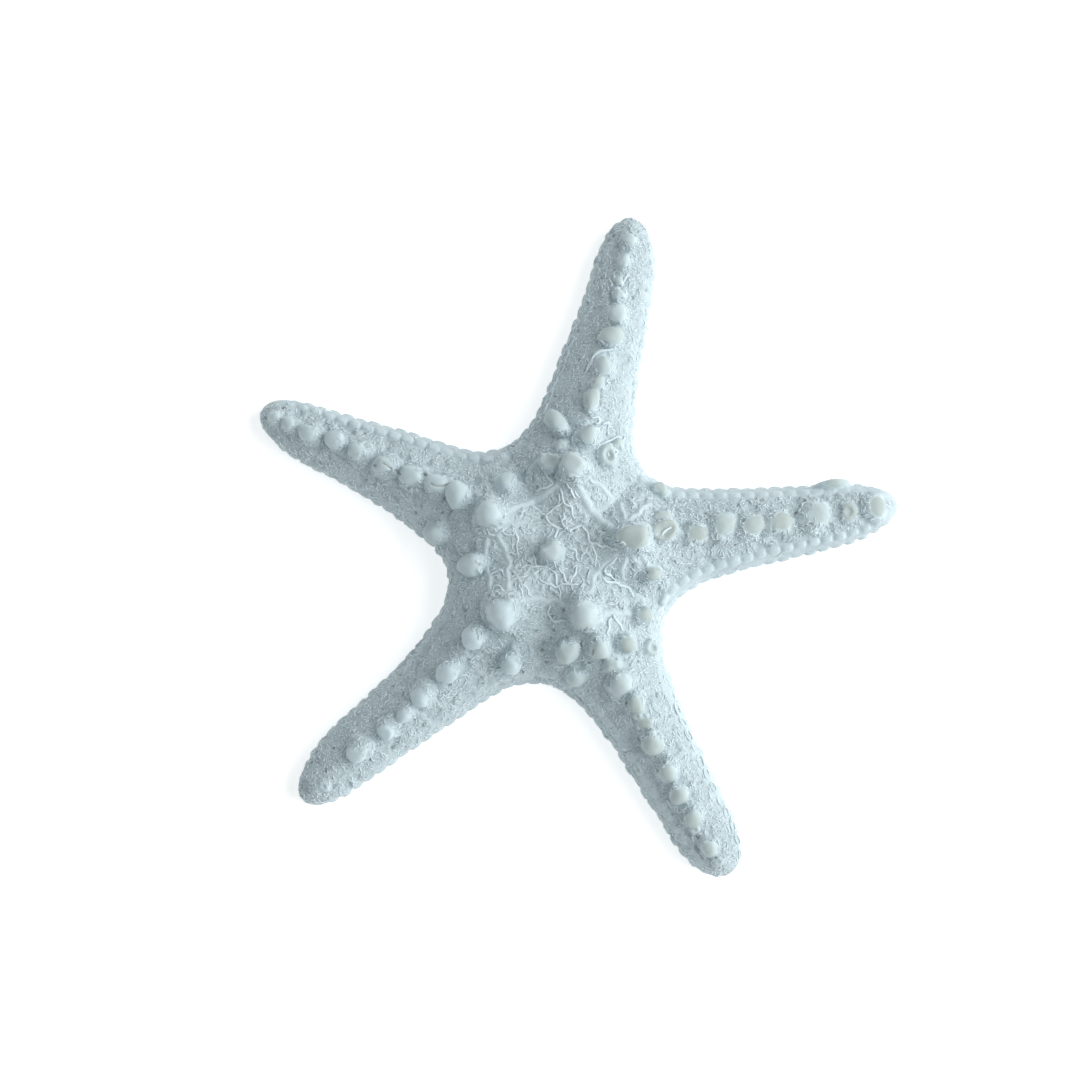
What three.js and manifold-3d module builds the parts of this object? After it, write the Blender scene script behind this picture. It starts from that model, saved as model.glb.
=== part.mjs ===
// Dried knobby starfish: one grown piece, resting on its flat mouth side.
// Millimetres, +Z up, origin on the resting surface under the middle of the outline.
// Arms and knobs are placed as seen from above; "along" runs out from the disc centre
// down an arm and "aside" is positive to the left of someone looking out along it.

import * as THREE from "three";
import { mergeVertices } from "three/addons/utils/BufferGeometryUtils.js";
import Module from "manifold-3d";

const DISC_CENTRE = new THREE.Vector2(-3.75, -2.25); // puts the outline's middle over the origin

// Arm outline: half widths without the web that joins neighbouring arms.
const ARM_START = 18; // where an arm leaves the disc
const WIDTH_START = 20; // where the half width begins to narrow
const TAPER_POWER = 1.5;
const TIP_POWER = 2.4;
const WEB_LEAN = 0.2; // how much the arm's own edge closes in per mm near the disc
const WEB_END_POWER = 4; // how suddenly the web between two arms runs out
const TIP_FLATTEN_GAIN = 1.6; // a section's height follows its roundness times this
const TIP_FLATTEN_POWER = 0.8;

// Heights of the upper side.
const CREST_ROOT = 13.6;
const CREST_TIP = 5.8;
const SHOULDER_RISE = 2.2; // the ring of large knobs stands on a raised shoulder
const SHOULDER_PLACE = 13;
const SHOULDER_SPREAD = 5;
const CENTRE_DIP = 0.8; // the middle of the disc sank as it dried
const CENTRE_DIP_SPREAD = 7;
const SIDE_POWER = 1.5; // how round an arm's section is
const VALLEY_POWER = 2.2; // how the disc falls to a notch between two arms
const MARGIN_ROOT = 5.4;
const MARGIN_TIP = 4.2;

// A section's rows as shares of the way from crest line to edge; the edge rows also have a
// share of the margin's height.
const FLAT_SHARE = 0.84; // where the flat underside ends
const EDGE_ROWS = [
  [0.97, 0.16],
  [1, 0.5],
  [0.95, 0.86],
];
const TOP_SHARES = [0.8, 0.45, 0];
const UNDER_ROWS = 3; // groove middle, groove edge and the end of the flat

// Plates along the edge, one bulge each.
const PLATE_PITCH = 2.4;
const PLATE_BULGE = 0.22;

// Underside: a groove down each arm from the mouth.
const GROOVE_HALF_WIDTH = 1.3;
const GROOVE_DEPTH = 1.5;
const GROOVE_MAX_SHARE = 0.6; // of the section's half width
const MOUTH_DEPTH = 2.4;
const MOUTH_FLOOR = 0.12; // stations, as a share of the way to a notch
const DISC_STATIONS = [MOUTH_FLOOR, 0.22, 0.41, 0.6, 0.8, 1];
const LAST_GAP = 0.4; // from the last section to the very tip
const RIM_SHARE = 0.9; // beyond this share, neighbouring arms meet on the notch's own line

// Knobs.
const KNOB_SIDES = 7;
const KNOB_SINK = 1.6; // how deep a knob's foot is buried
const KNOB_LEAN = 0.6; // share of the surface's own slope that a knob follows
const KNOB_FOOT_FLARE = 1.15; // shares of the knob's radius and rise
const KNOB_SIDE_TOP = 0.35;
const KNOB_BROW_RADIUS = 0.68;
const KNOB_BROW_HEIGHT = 0.83;
const SLOPE_PROBE = 1; // how far apart heights are compared to find a slope

// Ridges that join the large knobs round the middle of the disc.
const RIDGE_HALF_WIDTH = 1;
const RIDGE_PROUD = 0.8;
const RIDGE_STEPS = 5;
const RIDGE_HALF_SIDES = 3; // sides round half of a ridge's section
const RIDGE_SAG = 1.6; // how far a ridge bends in towards the middle

const MERGE_GAP = 1e-4; // corners closer than this are one
const LEAST_REACH = 0.01; // keeps the disc centre out of a division

const ARMS = [
  {
    heading: 8.7,
    length: 61.9,
    rootHalfWidth: 9.1,
    endHalfWidth: 5.2,
    bow: -0.2,
    sway: 0.1,
    tip: 14,
    knobs: [
      knob(13, 0.3, 2.6, 3.6),
      knob(18.8, 0.8, 1.8, 1.6),
      knob(24.7, -0.4, 1.7, 1.8),
      knob(29.8, 0.4, 1.9, 2.2),
      knob(35.1, -0.6, 1.9, 2.2),
      knob(39.9, -0.5, 1.9, 2.4),
      knob(46.7, -0.2, 2.1, 2.8),
      knob(52.7, -0.4, 1.5, 1.1),
      knob(57.7, -0.2, 1.7, 2.2),
      knob(15.6, -6.2, 1.3, 2),
      knob(19.5, 8.4, 1.1, 1.6),
      knob(51.6, 5, 1.2, 1.6),
      knob(12.7, -13.2, 1.5, 2.4),
    ],
  },
  {
    heading: 77.5,
    length: 63.1,
    rootHalfWidth: 9.2,
    endHalfWidth: 5.3,
    bow: -0.2,
    sway: 0.4,
    tip: 11.5,
    knobs: [
      knob(14.7, 0.6, 2.3, 4.2),
      knob(20.8, -0.6, 1.6, 2.4),
      knob(28.2, -0.2, 1.6, 2.2),
      knob(33.7, -0.3, 1.4, 2),
      knob(39.8, -0.8, 1.8, 2.4),
      knob(44.1, -1, 1.5, 2),
      knob(47.8, -0.6, 1.2, 1.2),
      knob(54, -0.2, 1.2, 1.5),
      knob(58, -0.3, 1.2, 1.4),
      knob(22.7, 4.7, 1.8, 3.4),
      knob(18.3, -4.9, 1.4, 2),
      knob(14.6, 4.4, 1.6, 1.8),
    ],
  },
  {
    heading: 153.7,
    length: 59.7,
    rootHalfWidth: 9.1,
    endHalfWidth: 4.9,
    bow: -0.8,
    sway: -0.5,
    tip: 11.2,
    knobs: [
      knob(13.4, -0.2, 2.3, 4.2),
      knob(19.8, -0.9, 2.1, 3.2),
      knob(24.4, -1.3, 1.9, 2.4),
      knob(29.2, -0.8, 1.9, 2.2),
      knob(34.4, -0.4, 1.9, 2.3),
      knob(39.8, -0.5, 1.8, 2.3),
      knob(44.5, -0.5, 1.8, 2.3),
      knob(49.2, 0.3, 1.7, 2.1),
      knob(53, 0.3, 1.2, 1.7),
      knob(55.4, 0.3, 1.1, 1.5),
      knob(13.5, -6.7, 1.6, 2.4),
      knob(20.9, 5.9, 1.8, 2.8),
      knob(12.5, 8, 2.3, 3.6),
    ],
  },
  {
    heading: 223.9,
    length: 63.1,
    rootHalfWidth: 8.3,
    endHalfWidth: 5.4,
    bow: 0.9,
    sway: 0.7,
    tip: 14,
    knobs: [
      knob(14.3, 1.1, 2.7, 4.4),
      knob(20.6, 0.5, 2, 3.8),
      knob(28.5, 1.7, 1.8, 3),
      knob(34.9, 1.5, 1.7, 2.5),
      knob(39.3, 1.7, 1.4, 2.1),
      knob(43.4, 1.6, 1.5, 2.2),
      knob(49.9, 0.7, 1.6, 2.5),
      knob(58.2, 0.7, 0.9, 1.1),
      knob(18.8, 7.5, 1.8, 4),
    ],
  },
  {
    heading: 298.2,
    length: 64.4,
    rootHalfWidth: 8.4,
    endHalfWidth: 5.6,
    bow: -0.4,
    sway: 0,
    tip: 10.4,
    knobs: [
      knob(11.9, -1.1, 2.4, 4.2),
      knob(17.7, -1.6, 2, 3.4),
      knob(21.7, -1, 1.7, 1.5),
      knob(25.6, -1.2, 2, 2.8),
      knob(30.3, -0.9, 1.8, 2.1),
      knob(37.1, -1.1, 1.8, 3.2),
      knob(42.9, -1.5, 1.6, 2.4),
      knob(47.5, -1.3, 1.7, 2.7),
      knob(52.5, -1.3, 1.8, 2.2),
      knob(58.3, -0.9, 1.5, 2),
      knob(15.8, -6.3, 1.9, 3.6),
      knob(20.7, -7.4, 1.5, 2.1),
      knob(19.7, 2.7, 1.5, 2.4),
      knob(22.5, 6.4, 1.2, 1.3),
    ],
  },
];

// NOTCHES[i] lies between ARMS[i] and the next arm round.
const NOTCHES = [
  { heading: 43.1, radius: 21.9 },
  { heading: 115.6, radius: 21.9 },
  { heading: 188.8, radius: 20 },
  { heading: 261.1, radius: 23.1 },
  { heading: 333.4, radius: 22.3 },
];

function knob(along, aside, radius, rise) {
  return { along, aside, radius, rise };
}

const CENTRE_KNOB = { x: -1.1, y: -0.3, radius: 2.2, rise: 3 };

const wrap = (degrees) => ((degrees % 360) + 360) % 360;

function direction(degrees) {
  const angle = THREE.MathUtils.degToRad(degrees);
  return new THREE.Vector2(Math.cos(angle), Math.sin(angle));
}

// One side of an arm, from its crest line to the notch beside it. side is 1 left, -1 right.
function armSide(index, side) {
  const arm = ARMS[index];
  const notch = NOTCHES[side > 0 ? index : (index + ARMS.length - 1) % ARMS.length];
  const spread = THREE.MathUtils.degToRad(wrap(side * (notch.heading - arm.heading)));
  const notchAlong = notch.radius * Math.cos(spread);
  const notchAside = notch.radius * Math.sin(spread);
  const web = notchAside - (arm.rootHalfWidth + (WIDTH_START - notchAlong) * WEB_LEAN);
  const webFade = web / (1 / Math.tan(spread) - WEB_LEAN);
  return { arm, side, notch, notchAlong, notchAside, web, webFade };
}

// 1 along most of the arm, rounding down to 0 at the tip.
function tipRound(arm, along) {
  const left = THREE.MathUtils.clamp((arm.length - along) / arm.tip, 0, 1);
  return Math.sqrt(Math.max(0, 1 - (1 - left) ** TIP_POWER));
}

function halfWidth(flank, along) {
  const { arm, notchAlong, web, webFade } = flank;
  const way = THREE.MathUtils.clamp((along - WIDTH_START) / (arm.length - WIDTH_START), 0, 1);
  const own = arm.endHalfWidth + (arm.rootHalfWidth - arm.endHalfWidth) * (1 - way) ** TAPER_POWER;
  const lean = Math.max(0, WIDTH_START - along) * WEB_LEAN;
  const near = THREE.MathUtils.clamp((along - notchAlong) / WIDTH_START, 0, 1);
  const webLeft = web * Math.exp(-(along - notchAlong) / webFade) * (1 - near ** WEB_END_POWER);
  return (own + lean) * tipRound(arm, along) + webLeft;
}

function axisOffset(arm, along) {
  const way = THREE.MathUtils.clamp((along - ARM_START) / (arm.length - ARM_START), 0, 1);
  return arm.bow * Math.sin(Math.PI * way) + arm.sway * Math.sin(2 * Math.PI * way);
}

// Arm coordinates to the frame's x and y.
function toFrame(arm, along, aside) {
  const out = direction(arm.heading);
  return new THREE.Vector2(
    DISC_CENTRE.x + along * out.x - aside * out.y,
    DISC_CENTRE.y + along * out.y + aside * out.x,
  );
}

// A section runs from the crest line to the edge, share being 0 on the crest and 1 at the edge.
// A station on the disc is { disc }, 0 at its centre and 1 at the notch, and one beyond the
// notch is { along }, the distance along the arm.
function sectionPoint(flank, station, share) {
  const { arm, side, notch, notchAlong } = flank;
  if (station.disc !== undefined) {
    const out = direction(notch.heading);
    const rim = notch.radius * station.disc * share;
    const onNotch = share > RIM_SHARE;
    const reach = onNotch ? 0 : ARM_START * station.disc * (1 - share);
    return DISC_CENTRE.clone().addScaledVector(out, rim).addScaledVector(direction(arm.heading), reach);
  }
  const { along } = station;
  const stretch = (arm.length - notchAlong) / (arm.length - ARM_START);
  const edgeAlong = notchAlong + (along - ARM_START) * stretch;
  const edgeAside = side * halfWidth(flank, edgeAlong) + axisOffset(arm, edgeAlong);
  const lerp = THREE.MathUtils.lerp;
  return toFrame(arm, lerp(along, edgeAlong, share), lerp(axisOffset(arm, along), edgeAside, share));
}

function crestHeight(arm, along) {
  const shoulder = Math.exp(-(((along - SHOULDER_PLACE) / SHOULDER_SPREAD) ** 2));
  const dip = Math.exp(-((along / CENTRE_DIP_SPREAD) ** 2));
  const way = along / arm.length;
  return CREST_ROOT + (CREST_TIP - CREST_ROOT) * way + SHOULDER_RISE * shoulder - CENTRE_DIP * dip;
}

function marginHeight(arm, along) {
  const way = THREE.MathUtils.clamp((along - ARM_START) / (arm.length - ARM_START), 0, 1);
  return THREE.MathUtils.lerp(MARGIN_ROOT, MARGIN_TIP, way);
}

// The upper surface at a share of the way from crest to edge.
function topHeight(arm, station, share) {
  if (station.disc !== undefined) {
    const crest = crestHeight(arm, station.disc * ARM_START);
    const middle = CREST_ROOT - CENTRE_DIP;
    const rim = MARGIN_ROOT + (middle - MARGIN_ROOT) * (1 - station.disc ** VALLEY_POWER);
    return rim + (crest - rim) * (1 - share ** SIDE_POWER);
  }
  const margin = marginHeight(arm, station.along);
  return margin + (crestHeight(arm, station.along) - margin) * (1 - share ** SIDE_POWER);
}

// Sections flatten towards mid height at the very tip.
function tipSquash(arm, station, height) {
  if (station.along === undefined) {
    return height;
  }
  const middle = marginHeight(arm, station.along) / 2;
  const keep = Math.min(1, (tipRound(arm, station.along) * TIP_FLATTEN_GAIN) ** TIP_FLATTEN_POWER);
  return middle + (height - middle) * keep;
}

// The points of half a section, from the groove's middle round the edge to the crest.
function sectionRing(flank, station, bulge) {
  const { arm } = flank;
  const inDisc = station.disc !== undefined && station.disc < 1;
  const edge = sectionPoint(flank, station, 1);
  const span = edge.distanceTo(sectionPoint(flank, station, 0));
  const grooveShare = Math.min(GROOVE_MAX_SHARE, GROOVE_HALF_WIDTH / span);
  const margin = station.along === undefined ? MARGIN_ROOT : marginHeight(arm, station.along);
  const inMouth = inDisc && station.disc <= MOUTH_FLOOR;
  const floor = inMouth ? MOUTH_DEPTH : 0;
  const swell = bulge / span;
  const rows = [
    [0, inMouth ? MOUTH_DEPTH : GROOVE_DEPTH],
    [grooveShare, floor],
    [FLAT_SHARE, floor],
  ];
  if (inDisc) {
    rows.push([1, floor], [1, topHeight(arm, station, 1)]);
  } else {
    rows.push(...EDGE_ROWS.map(([share, level]) => [share + swell, margin * level]));
  }
  rows.push(...TOP_SHARES.map((share) => [share, topHeight(arm, station, share)]));
  return rows.map(([share, height]) => {
    const flat = sectionPoint(flank, station, share);
    return new THREE.Vector3(flat.x, flat.y, tipSquash(arm, station, height));
  });
}

// The two sections that each plate ends at and the one across its middle.
function plateStations(arm) {
  const count = Math.round((arm.length - ARM_START) / PLATE_PITCH);
  const pitch = (arm.length - ARM_START) / count;
  const plates = [];
  for (let i = 0; i < count; i += 1) {
    const along = ARM_START + i * pitch;
    const end = i + 1 < count ? along + pitch : arm.length - LAST_GAP;
    plates.push({ middle: (along + end) / 2, end });
  }
  return plates;
}

// Joins two rows of points of equal length with triangles, left flanks facing out.
function stitch(triangles, near, far, side) {
  for (let i = 0; i + 1 < near.length; i += 1) {
    const faces = [
      [near[i], far[i], far[i + 1]],
      [near[i], far[i + 1], near[i + 1]],
    ];
    for (const [a, b, c] of faces) {
      triangles.push(...(side > 0 ? [a, c, b] : [a, b, c]));
    }
  }
}

// Closes the gap beside a plate's edge row (first, middle, last) to the two points behind it.
function fan(triangles, behind, edge, side) {
  stitch(triangles, [behind[0], edge[0]], [behind[0], edge[1]], side);
  stitch(triangles, [behind[0], edge[1]], [behind[1], edge[1]], side);
  stitch(triangles, [behind[1], edge[1]], [behind[1], edge[2]], side);
}

function buildFlank(triangles, index, side) {
  const flank = armSide(index, side);
  const { arm } = flank;
  const middle = CREST_ROOT - CENTRE_DIP;
  const under = new THREE.Vector3(DISC_CENTRE.x, DISC_CENTRE.y, MOUTH_DEPTH);
  const over = new THREE.Vector3(DISC_CENTRE.x, DISC_CENTRE.y, middle);
  const wallStart = UNDER_ROWS;
  const wallEnd = UNDER_ROWS + EDGE_ROWS.length;
  const topRows = TOP_SHARES.length + 1;
  let below = new Array(UNDER_ROWS + 1).fill(under);
  let above = new Array(topRows).fill(over);
  for (const disc of DISC_STATIONS) {
    const ring = sectionRing(flank, { disc }, 0);
    const ringBelow = ring.slice(0, UNDER_ROWS + 1);
    const ringAbove = ring.slice(-topRows);
    stitch(triangles, below, ringBelow, side);
    stitch(triangles, above, ringAbove, side);
    below = ringBelow;
    above = ringAbove;
  }
  let near = sectionRing(flank, { disc: 1 }, 0);
  for (const plate of plateStations(arm)) {
    const across = sectionRing(flank, { along: plate.middle }, PLATE_BULGE);
    const far = sectionRing(flank, { along: plate.end }, -PLATE_BULGE);
    const wall = (ring) => ring.slice(wallStart, wallEnd);
    const row = (i) => [near[i], across[i], far[i]];
    stitch(triangles, near.slice(0, wallStart), far.slice(0, wallStart), side);
    stitch(triangles, wall(near), wall(across), side);
    stitch(triangles, wall(across), wall(far), side);
    stitch(triangles, near.slice(wallEnd), far.slice(wallEnd), side);
    fan(triangles, [near[wallStart - 1], far[wallStart - 1]], row(wallStart), side);
    fan(triangles, [near[wallEnd], far[wallEnd]], row(wallEnd - 1), -side);
    near = far;
  }
  const end = toFrame(arm, arm.length, axisOffset(arm, arm.length));
  const tip = new THREE.Vector3(end.x, end.y, marginHeight(arm, arm.length) / 2);
  stitch(triangles, near, near.map(() => tip), side);
}

// The height of the upper surface at a place given in arm coordinates.
function surfaceAt(index, along, aside) {
  const arm = ARMS[index];
  const fromAxis = aside - axisOffset(arm, along);
  const flank = armSide(index, fromAxis < 0 ? -1 : 1);
  if (along >= ARM_START) {
    const share = Math.min(1, Math.abs(fromAxis) / halfWidth(flank, along));
    return topHeight(arm, { along }, share);
  }
  const across = Math.abs(aside) / flank.notchAside;
  const disc = (along - across * (flank.notchAlong - ARM_START)) / ARM_START;
  return topHeight(arm, { disc }, Math.min(1, across / Math.max(disc, LEAST_REACH)));
}

// The way a knob grows there: partly the surface's own normal, partly straight up.
function knobAxis(index, along, aside) {
  const ahead = surfaceAt(index, along + SLOPE_PROBE, aside);
  const behind = surfaceAt(index, along - SLOPE_PROBE, aside);
  const left = surfaceAt(index, along, aside + SLOPE_PROBE);
  const right = surfaceAt(index, along, aside - SLOPE_PROBE);
  const gap = 2 * SLOPE_PROBE;
  const lean = toFrame(ARMS[index], (ahead - behind) / gap, (left - right) / gap).sub(DISC_CENTRE);
  return new THREE.Vector3(-lean.x * KNOB_LEAN, -lean.y * KNOB_LEAN, 1).normalize();
}

// The arm whose flanks a place on the disc belongs to.
function nearestArm(place) {
  const angle = THREE.MathUtils.radToDeg(Math.atan2(place.y, place.x));
  const gaps = ARMS.map((arm, i) => {
    const turn = wrap(angle - arm.heading + 180) - 180;
    const notch = NOTCHES[turn > 0 ? i : (i + ARMS.length - 1) % ARMS.length];
    const spread = wrap(Math.sign(turn || 1) * (notch.heading - arm.heading));
    return Math.abs(turn) / spread;
  });
  return gaps.indexOf(Math.min(...gaps));
}

function discHeight(x, y) {
  const index = nearestArm({ x, y });
  const out = direction(ARMS[index].heading);
  return surfaceAt(index, x * out.x + y * out.y, y * out.x - x * out.y);
}

// A geometry as a solid for cutting and joining: only places, shared corners, no slivers.
function toSolid(wasm, geometry) {
  const bare = new THREE.BufferGeometry();
  bare.setAttribute("position", geometry.getAttribute("position").clone());
  if (geometry.index) {
    bare.setIndex(geometry.index.clone());
  }
  const merged = mergeVertices(bare, MERGE_GAP);
  const corners = [];
  for (let i = 0; i < merged.index.count; i += 3) {
    const [a, b, c] = [0, 1, 2].map((k) => merged.index.getX(i + k));
    if (a !== b && b !== c && c !== a) {
      corners.push(a, b, c);
    }
  }
  const vertProperties = new Float32Array(merged.getAttribute("position").array);
  const triVerts = new Uint32Array(corners);
  return new wasm.Manifold(new wasm.Mesh({ numProp: 3, vertProperties, triVerts }));
}

function toGeometry(solid) {
  const mesh = solid.getMesh();
  const geometry = new THREE.BufferGeometry();
  geometry.setAttribute("position", new THREE.BufferAttribute(new Float32Array(mesh.vertProperties), 3));
  geometry.setIndex(new THREE.BufferAttribute(new Uint32Array(mesh.triVerts), 1));
  return geometry;
}

function bodySolid(wasm) {
  const triangles = [];
  for (let index = 0; index < ARMS.length; index += 1) {
    buildFlank(triangles, index, 1);
    buildFlank(triangles, index, -1);
  }
  const geometry = new THREE.BufferGeometry();
  const places = triangles.flatMap((point) => [point.x, point.y, point.z]);
  geometry.setAttribute("position", new THREE.Float32BufferAttribute(places, 3));
  return toSolid(wasm, geometry);
}

// A blunt knob with a flared foot.
function knobGeometry(radius, rise, foot, axis) {
  const profile = [
    new THREE.Vector2(0, -KNOB_SINK),
    new THREE.Vector2(radius * KNOB_FOOT_FLARE, -KNOB_SINK),
    new THREE.Vector2(radius, rise * KNOB_SIDE_TOP),
    new THREE.Vector2(radius * KNOB_BROW_RADIUS, rise * KNOB_BROW_HEIGHT),
    new THREE.Vector2(0, rise),
  ];
  const geometry = new THREE.LatheGeometry(profile, KNOB_SIDES);
  const up = new THREE.Vector3(0, 1, 0);
  geometry.applyQuaternion(new THREE.Quaternion().setFromUnitVectors(up, axis));
  geometry.translate(foot.x, foot.y, foot.z);
  return geometry;
}

function knobSolids(wasm) {
  const solids = [];
  ARMS.forEach((arm, index) => {
    for (const { along, aside, radius, rise } of arm.knobs) {
      const flat = toFrame(arm, along, aside);
      const foot = new THREE.Vector3(flat.x, flat.y, surfaceAt(index, along, aside));
      const axis = knobAxis(index, along, aside);
      solids.push(toSolid(wasm, knobGeometry(radius, rise, foot, axis)));
    }
  });
  const { x, y, radius, rise } = CENTRE_KNOB;
  const foot = new THREE.Vector3(DISC_CENTRE.x + x, DISC_CENTRE.y + y, discHeight(x, y));
  solids.push(toSolid(wasm, knobGeometry(radius, rise, foot, new THREE.Vector3(0, 0, 1))));
  return solids;
}

// The five low ridges that join neighbouring large knobs, which are each arm's first.
function ridgeSolids(wasm) {
  return ARMS.map((arm, index) => {
    const next = ARMS[(index + 1) % ARMS.length];
    const start = toFrame(arm, arm.knobs[0].along, arm.knobs[0].aside).sub(DISC_CENTRE);
    const end = toFrame(next, next.knobs[0].along, next.knobs[0].aside).sub(DISC_CENTRE);
    const points = [];
    for (let i = 0; i <= RIDGE_STEPS; i += 1) {
      const way = i / RIDGE_STEPS;
      const flat = start.clone().lerp(end, way);
      flat.addScaledVector(flat.clone().normalize(), -RIDGE_SAG * Math.sin(Math.PI * way));
      const height = discHeight(flat.x, flat.y) + RIDGE_PROUD - RIDGE_HALF_WIDTH;
      points.push(new THREE.Vector3(DISC_CENTRE.x + flat.x, DISC_CENTRE.y + flat.y, height));
    }
    const outline = new THREE.Shape();
    outline.absarc(0, 0, RIDGE_HALF_WIDTH, 0, 2 * Math.PI, false);
    const extrudePath = new THREE.CatmullRomCurve3(points);
    const geometry = new THREE.ExtrudeGeometry(outline, {
      steps: RIDGE_STEPS,
      curveSegments: RIDGE_HALF_SIDES,
      bevelEnabled: false,
      extrudePath,
    });
    return toSolid(wasm, geometry);
  });
}

const wasm = await Module();
wasm.setup();

const extras = [...knobSolids(wasm), ...ridgeSolids(wasm)];
const whole = extras.reduce((body, extra) => body.add(extra), bodySolid(wasm));

const skin = new THREE.MeshStandardMaterial({ color: 0xdfe8ea, roughness: 0.78, metalness: 0 });
const starfish = new THREE.Mesh(toGeometry(whole), skin);
starfish.name = "starfish";

const model = new THREE.Group();
model.add(starfish);

export default model;
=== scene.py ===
"""The looks of a dried knobby starfish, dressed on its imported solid.

Shapes are worked out in millimetres in the solid's own frame, +Z up, and turned into metres
when a mesh is made. "Along" runs out from the disc centre down an arm, and "aside" is
positive to the left of someone looking out along it.
"""

import logging
import math
from dataclasses import dataclass, field
from enum import Enum
from typing import Any

import bmesh
import bpy
import numpy as np
from bpy.types import Material, Mesh, Node, NodeSocket, NodeTree, Object
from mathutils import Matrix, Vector


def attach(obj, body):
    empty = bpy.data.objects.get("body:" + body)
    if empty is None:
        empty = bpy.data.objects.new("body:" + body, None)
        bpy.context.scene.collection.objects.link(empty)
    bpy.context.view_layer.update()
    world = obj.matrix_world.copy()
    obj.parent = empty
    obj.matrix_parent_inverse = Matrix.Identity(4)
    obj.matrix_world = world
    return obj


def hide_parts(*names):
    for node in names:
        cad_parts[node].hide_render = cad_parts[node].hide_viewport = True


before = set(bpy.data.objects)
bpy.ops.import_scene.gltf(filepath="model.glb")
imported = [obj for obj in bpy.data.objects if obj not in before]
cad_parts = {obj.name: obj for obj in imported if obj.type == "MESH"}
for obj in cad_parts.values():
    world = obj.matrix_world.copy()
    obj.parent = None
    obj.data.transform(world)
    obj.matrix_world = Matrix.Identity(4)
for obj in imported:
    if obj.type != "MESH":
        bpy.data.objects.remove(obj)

log = logging.getLogger("starfish")
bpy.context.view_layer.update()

MM = 0.001
NODE = "starfish"
BODY = "root"
TURN = 2 * math.pi
# Where an arm leaves the disc, in mm from the centre.
ARM_START = 18.0


class KnobForm(Enum):
    """How a knob ends."""

    DOME = "blunt and round"
    EGG = "swollen above a narrow foot"
    FLAT = "worn flat on top"
    BEAK = "drawn out to one side"
    BROKEN = "top gone, hollow inside a ragged rim"
    RING = "low, with a crater"
    SLIT = "round, with a curved cut across its top"
    STUB = "low and uneven"


@dataclass(frozen=True)
class Knob:
    """One knob, in arm coordinates and millimetres.

    stretch is its length over its width, in the direction of turn, which is in degrees
    from the arm's heading, and lean tips its top that way, in degrees.
    """

    along: float
    aside: float
    radius: float
    rise: float
    form: KnobForm = KnobForm.DOME
    stretch: float = 1.0
    turn: float = 0.0
    lean: float = 0.0


@dataclass(frozen=True)
class Arm:
    """One arm's outline in millimetres and degrees, its knobs' ivory tint, and its knobs, large one first."""

    name: str
    heading: float
    length: float
    root_half_width: float
    end_half_width: float
    bow: float
    sway: float
    tip: float
    warmth: float
    knobs: tuple[Knob, ...]


@dataclass(frozen=True)
class Notch:
    """The inner corner between two arms: its heading in degrees and its distance out."""

    heading: float
    radius: float


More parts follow.
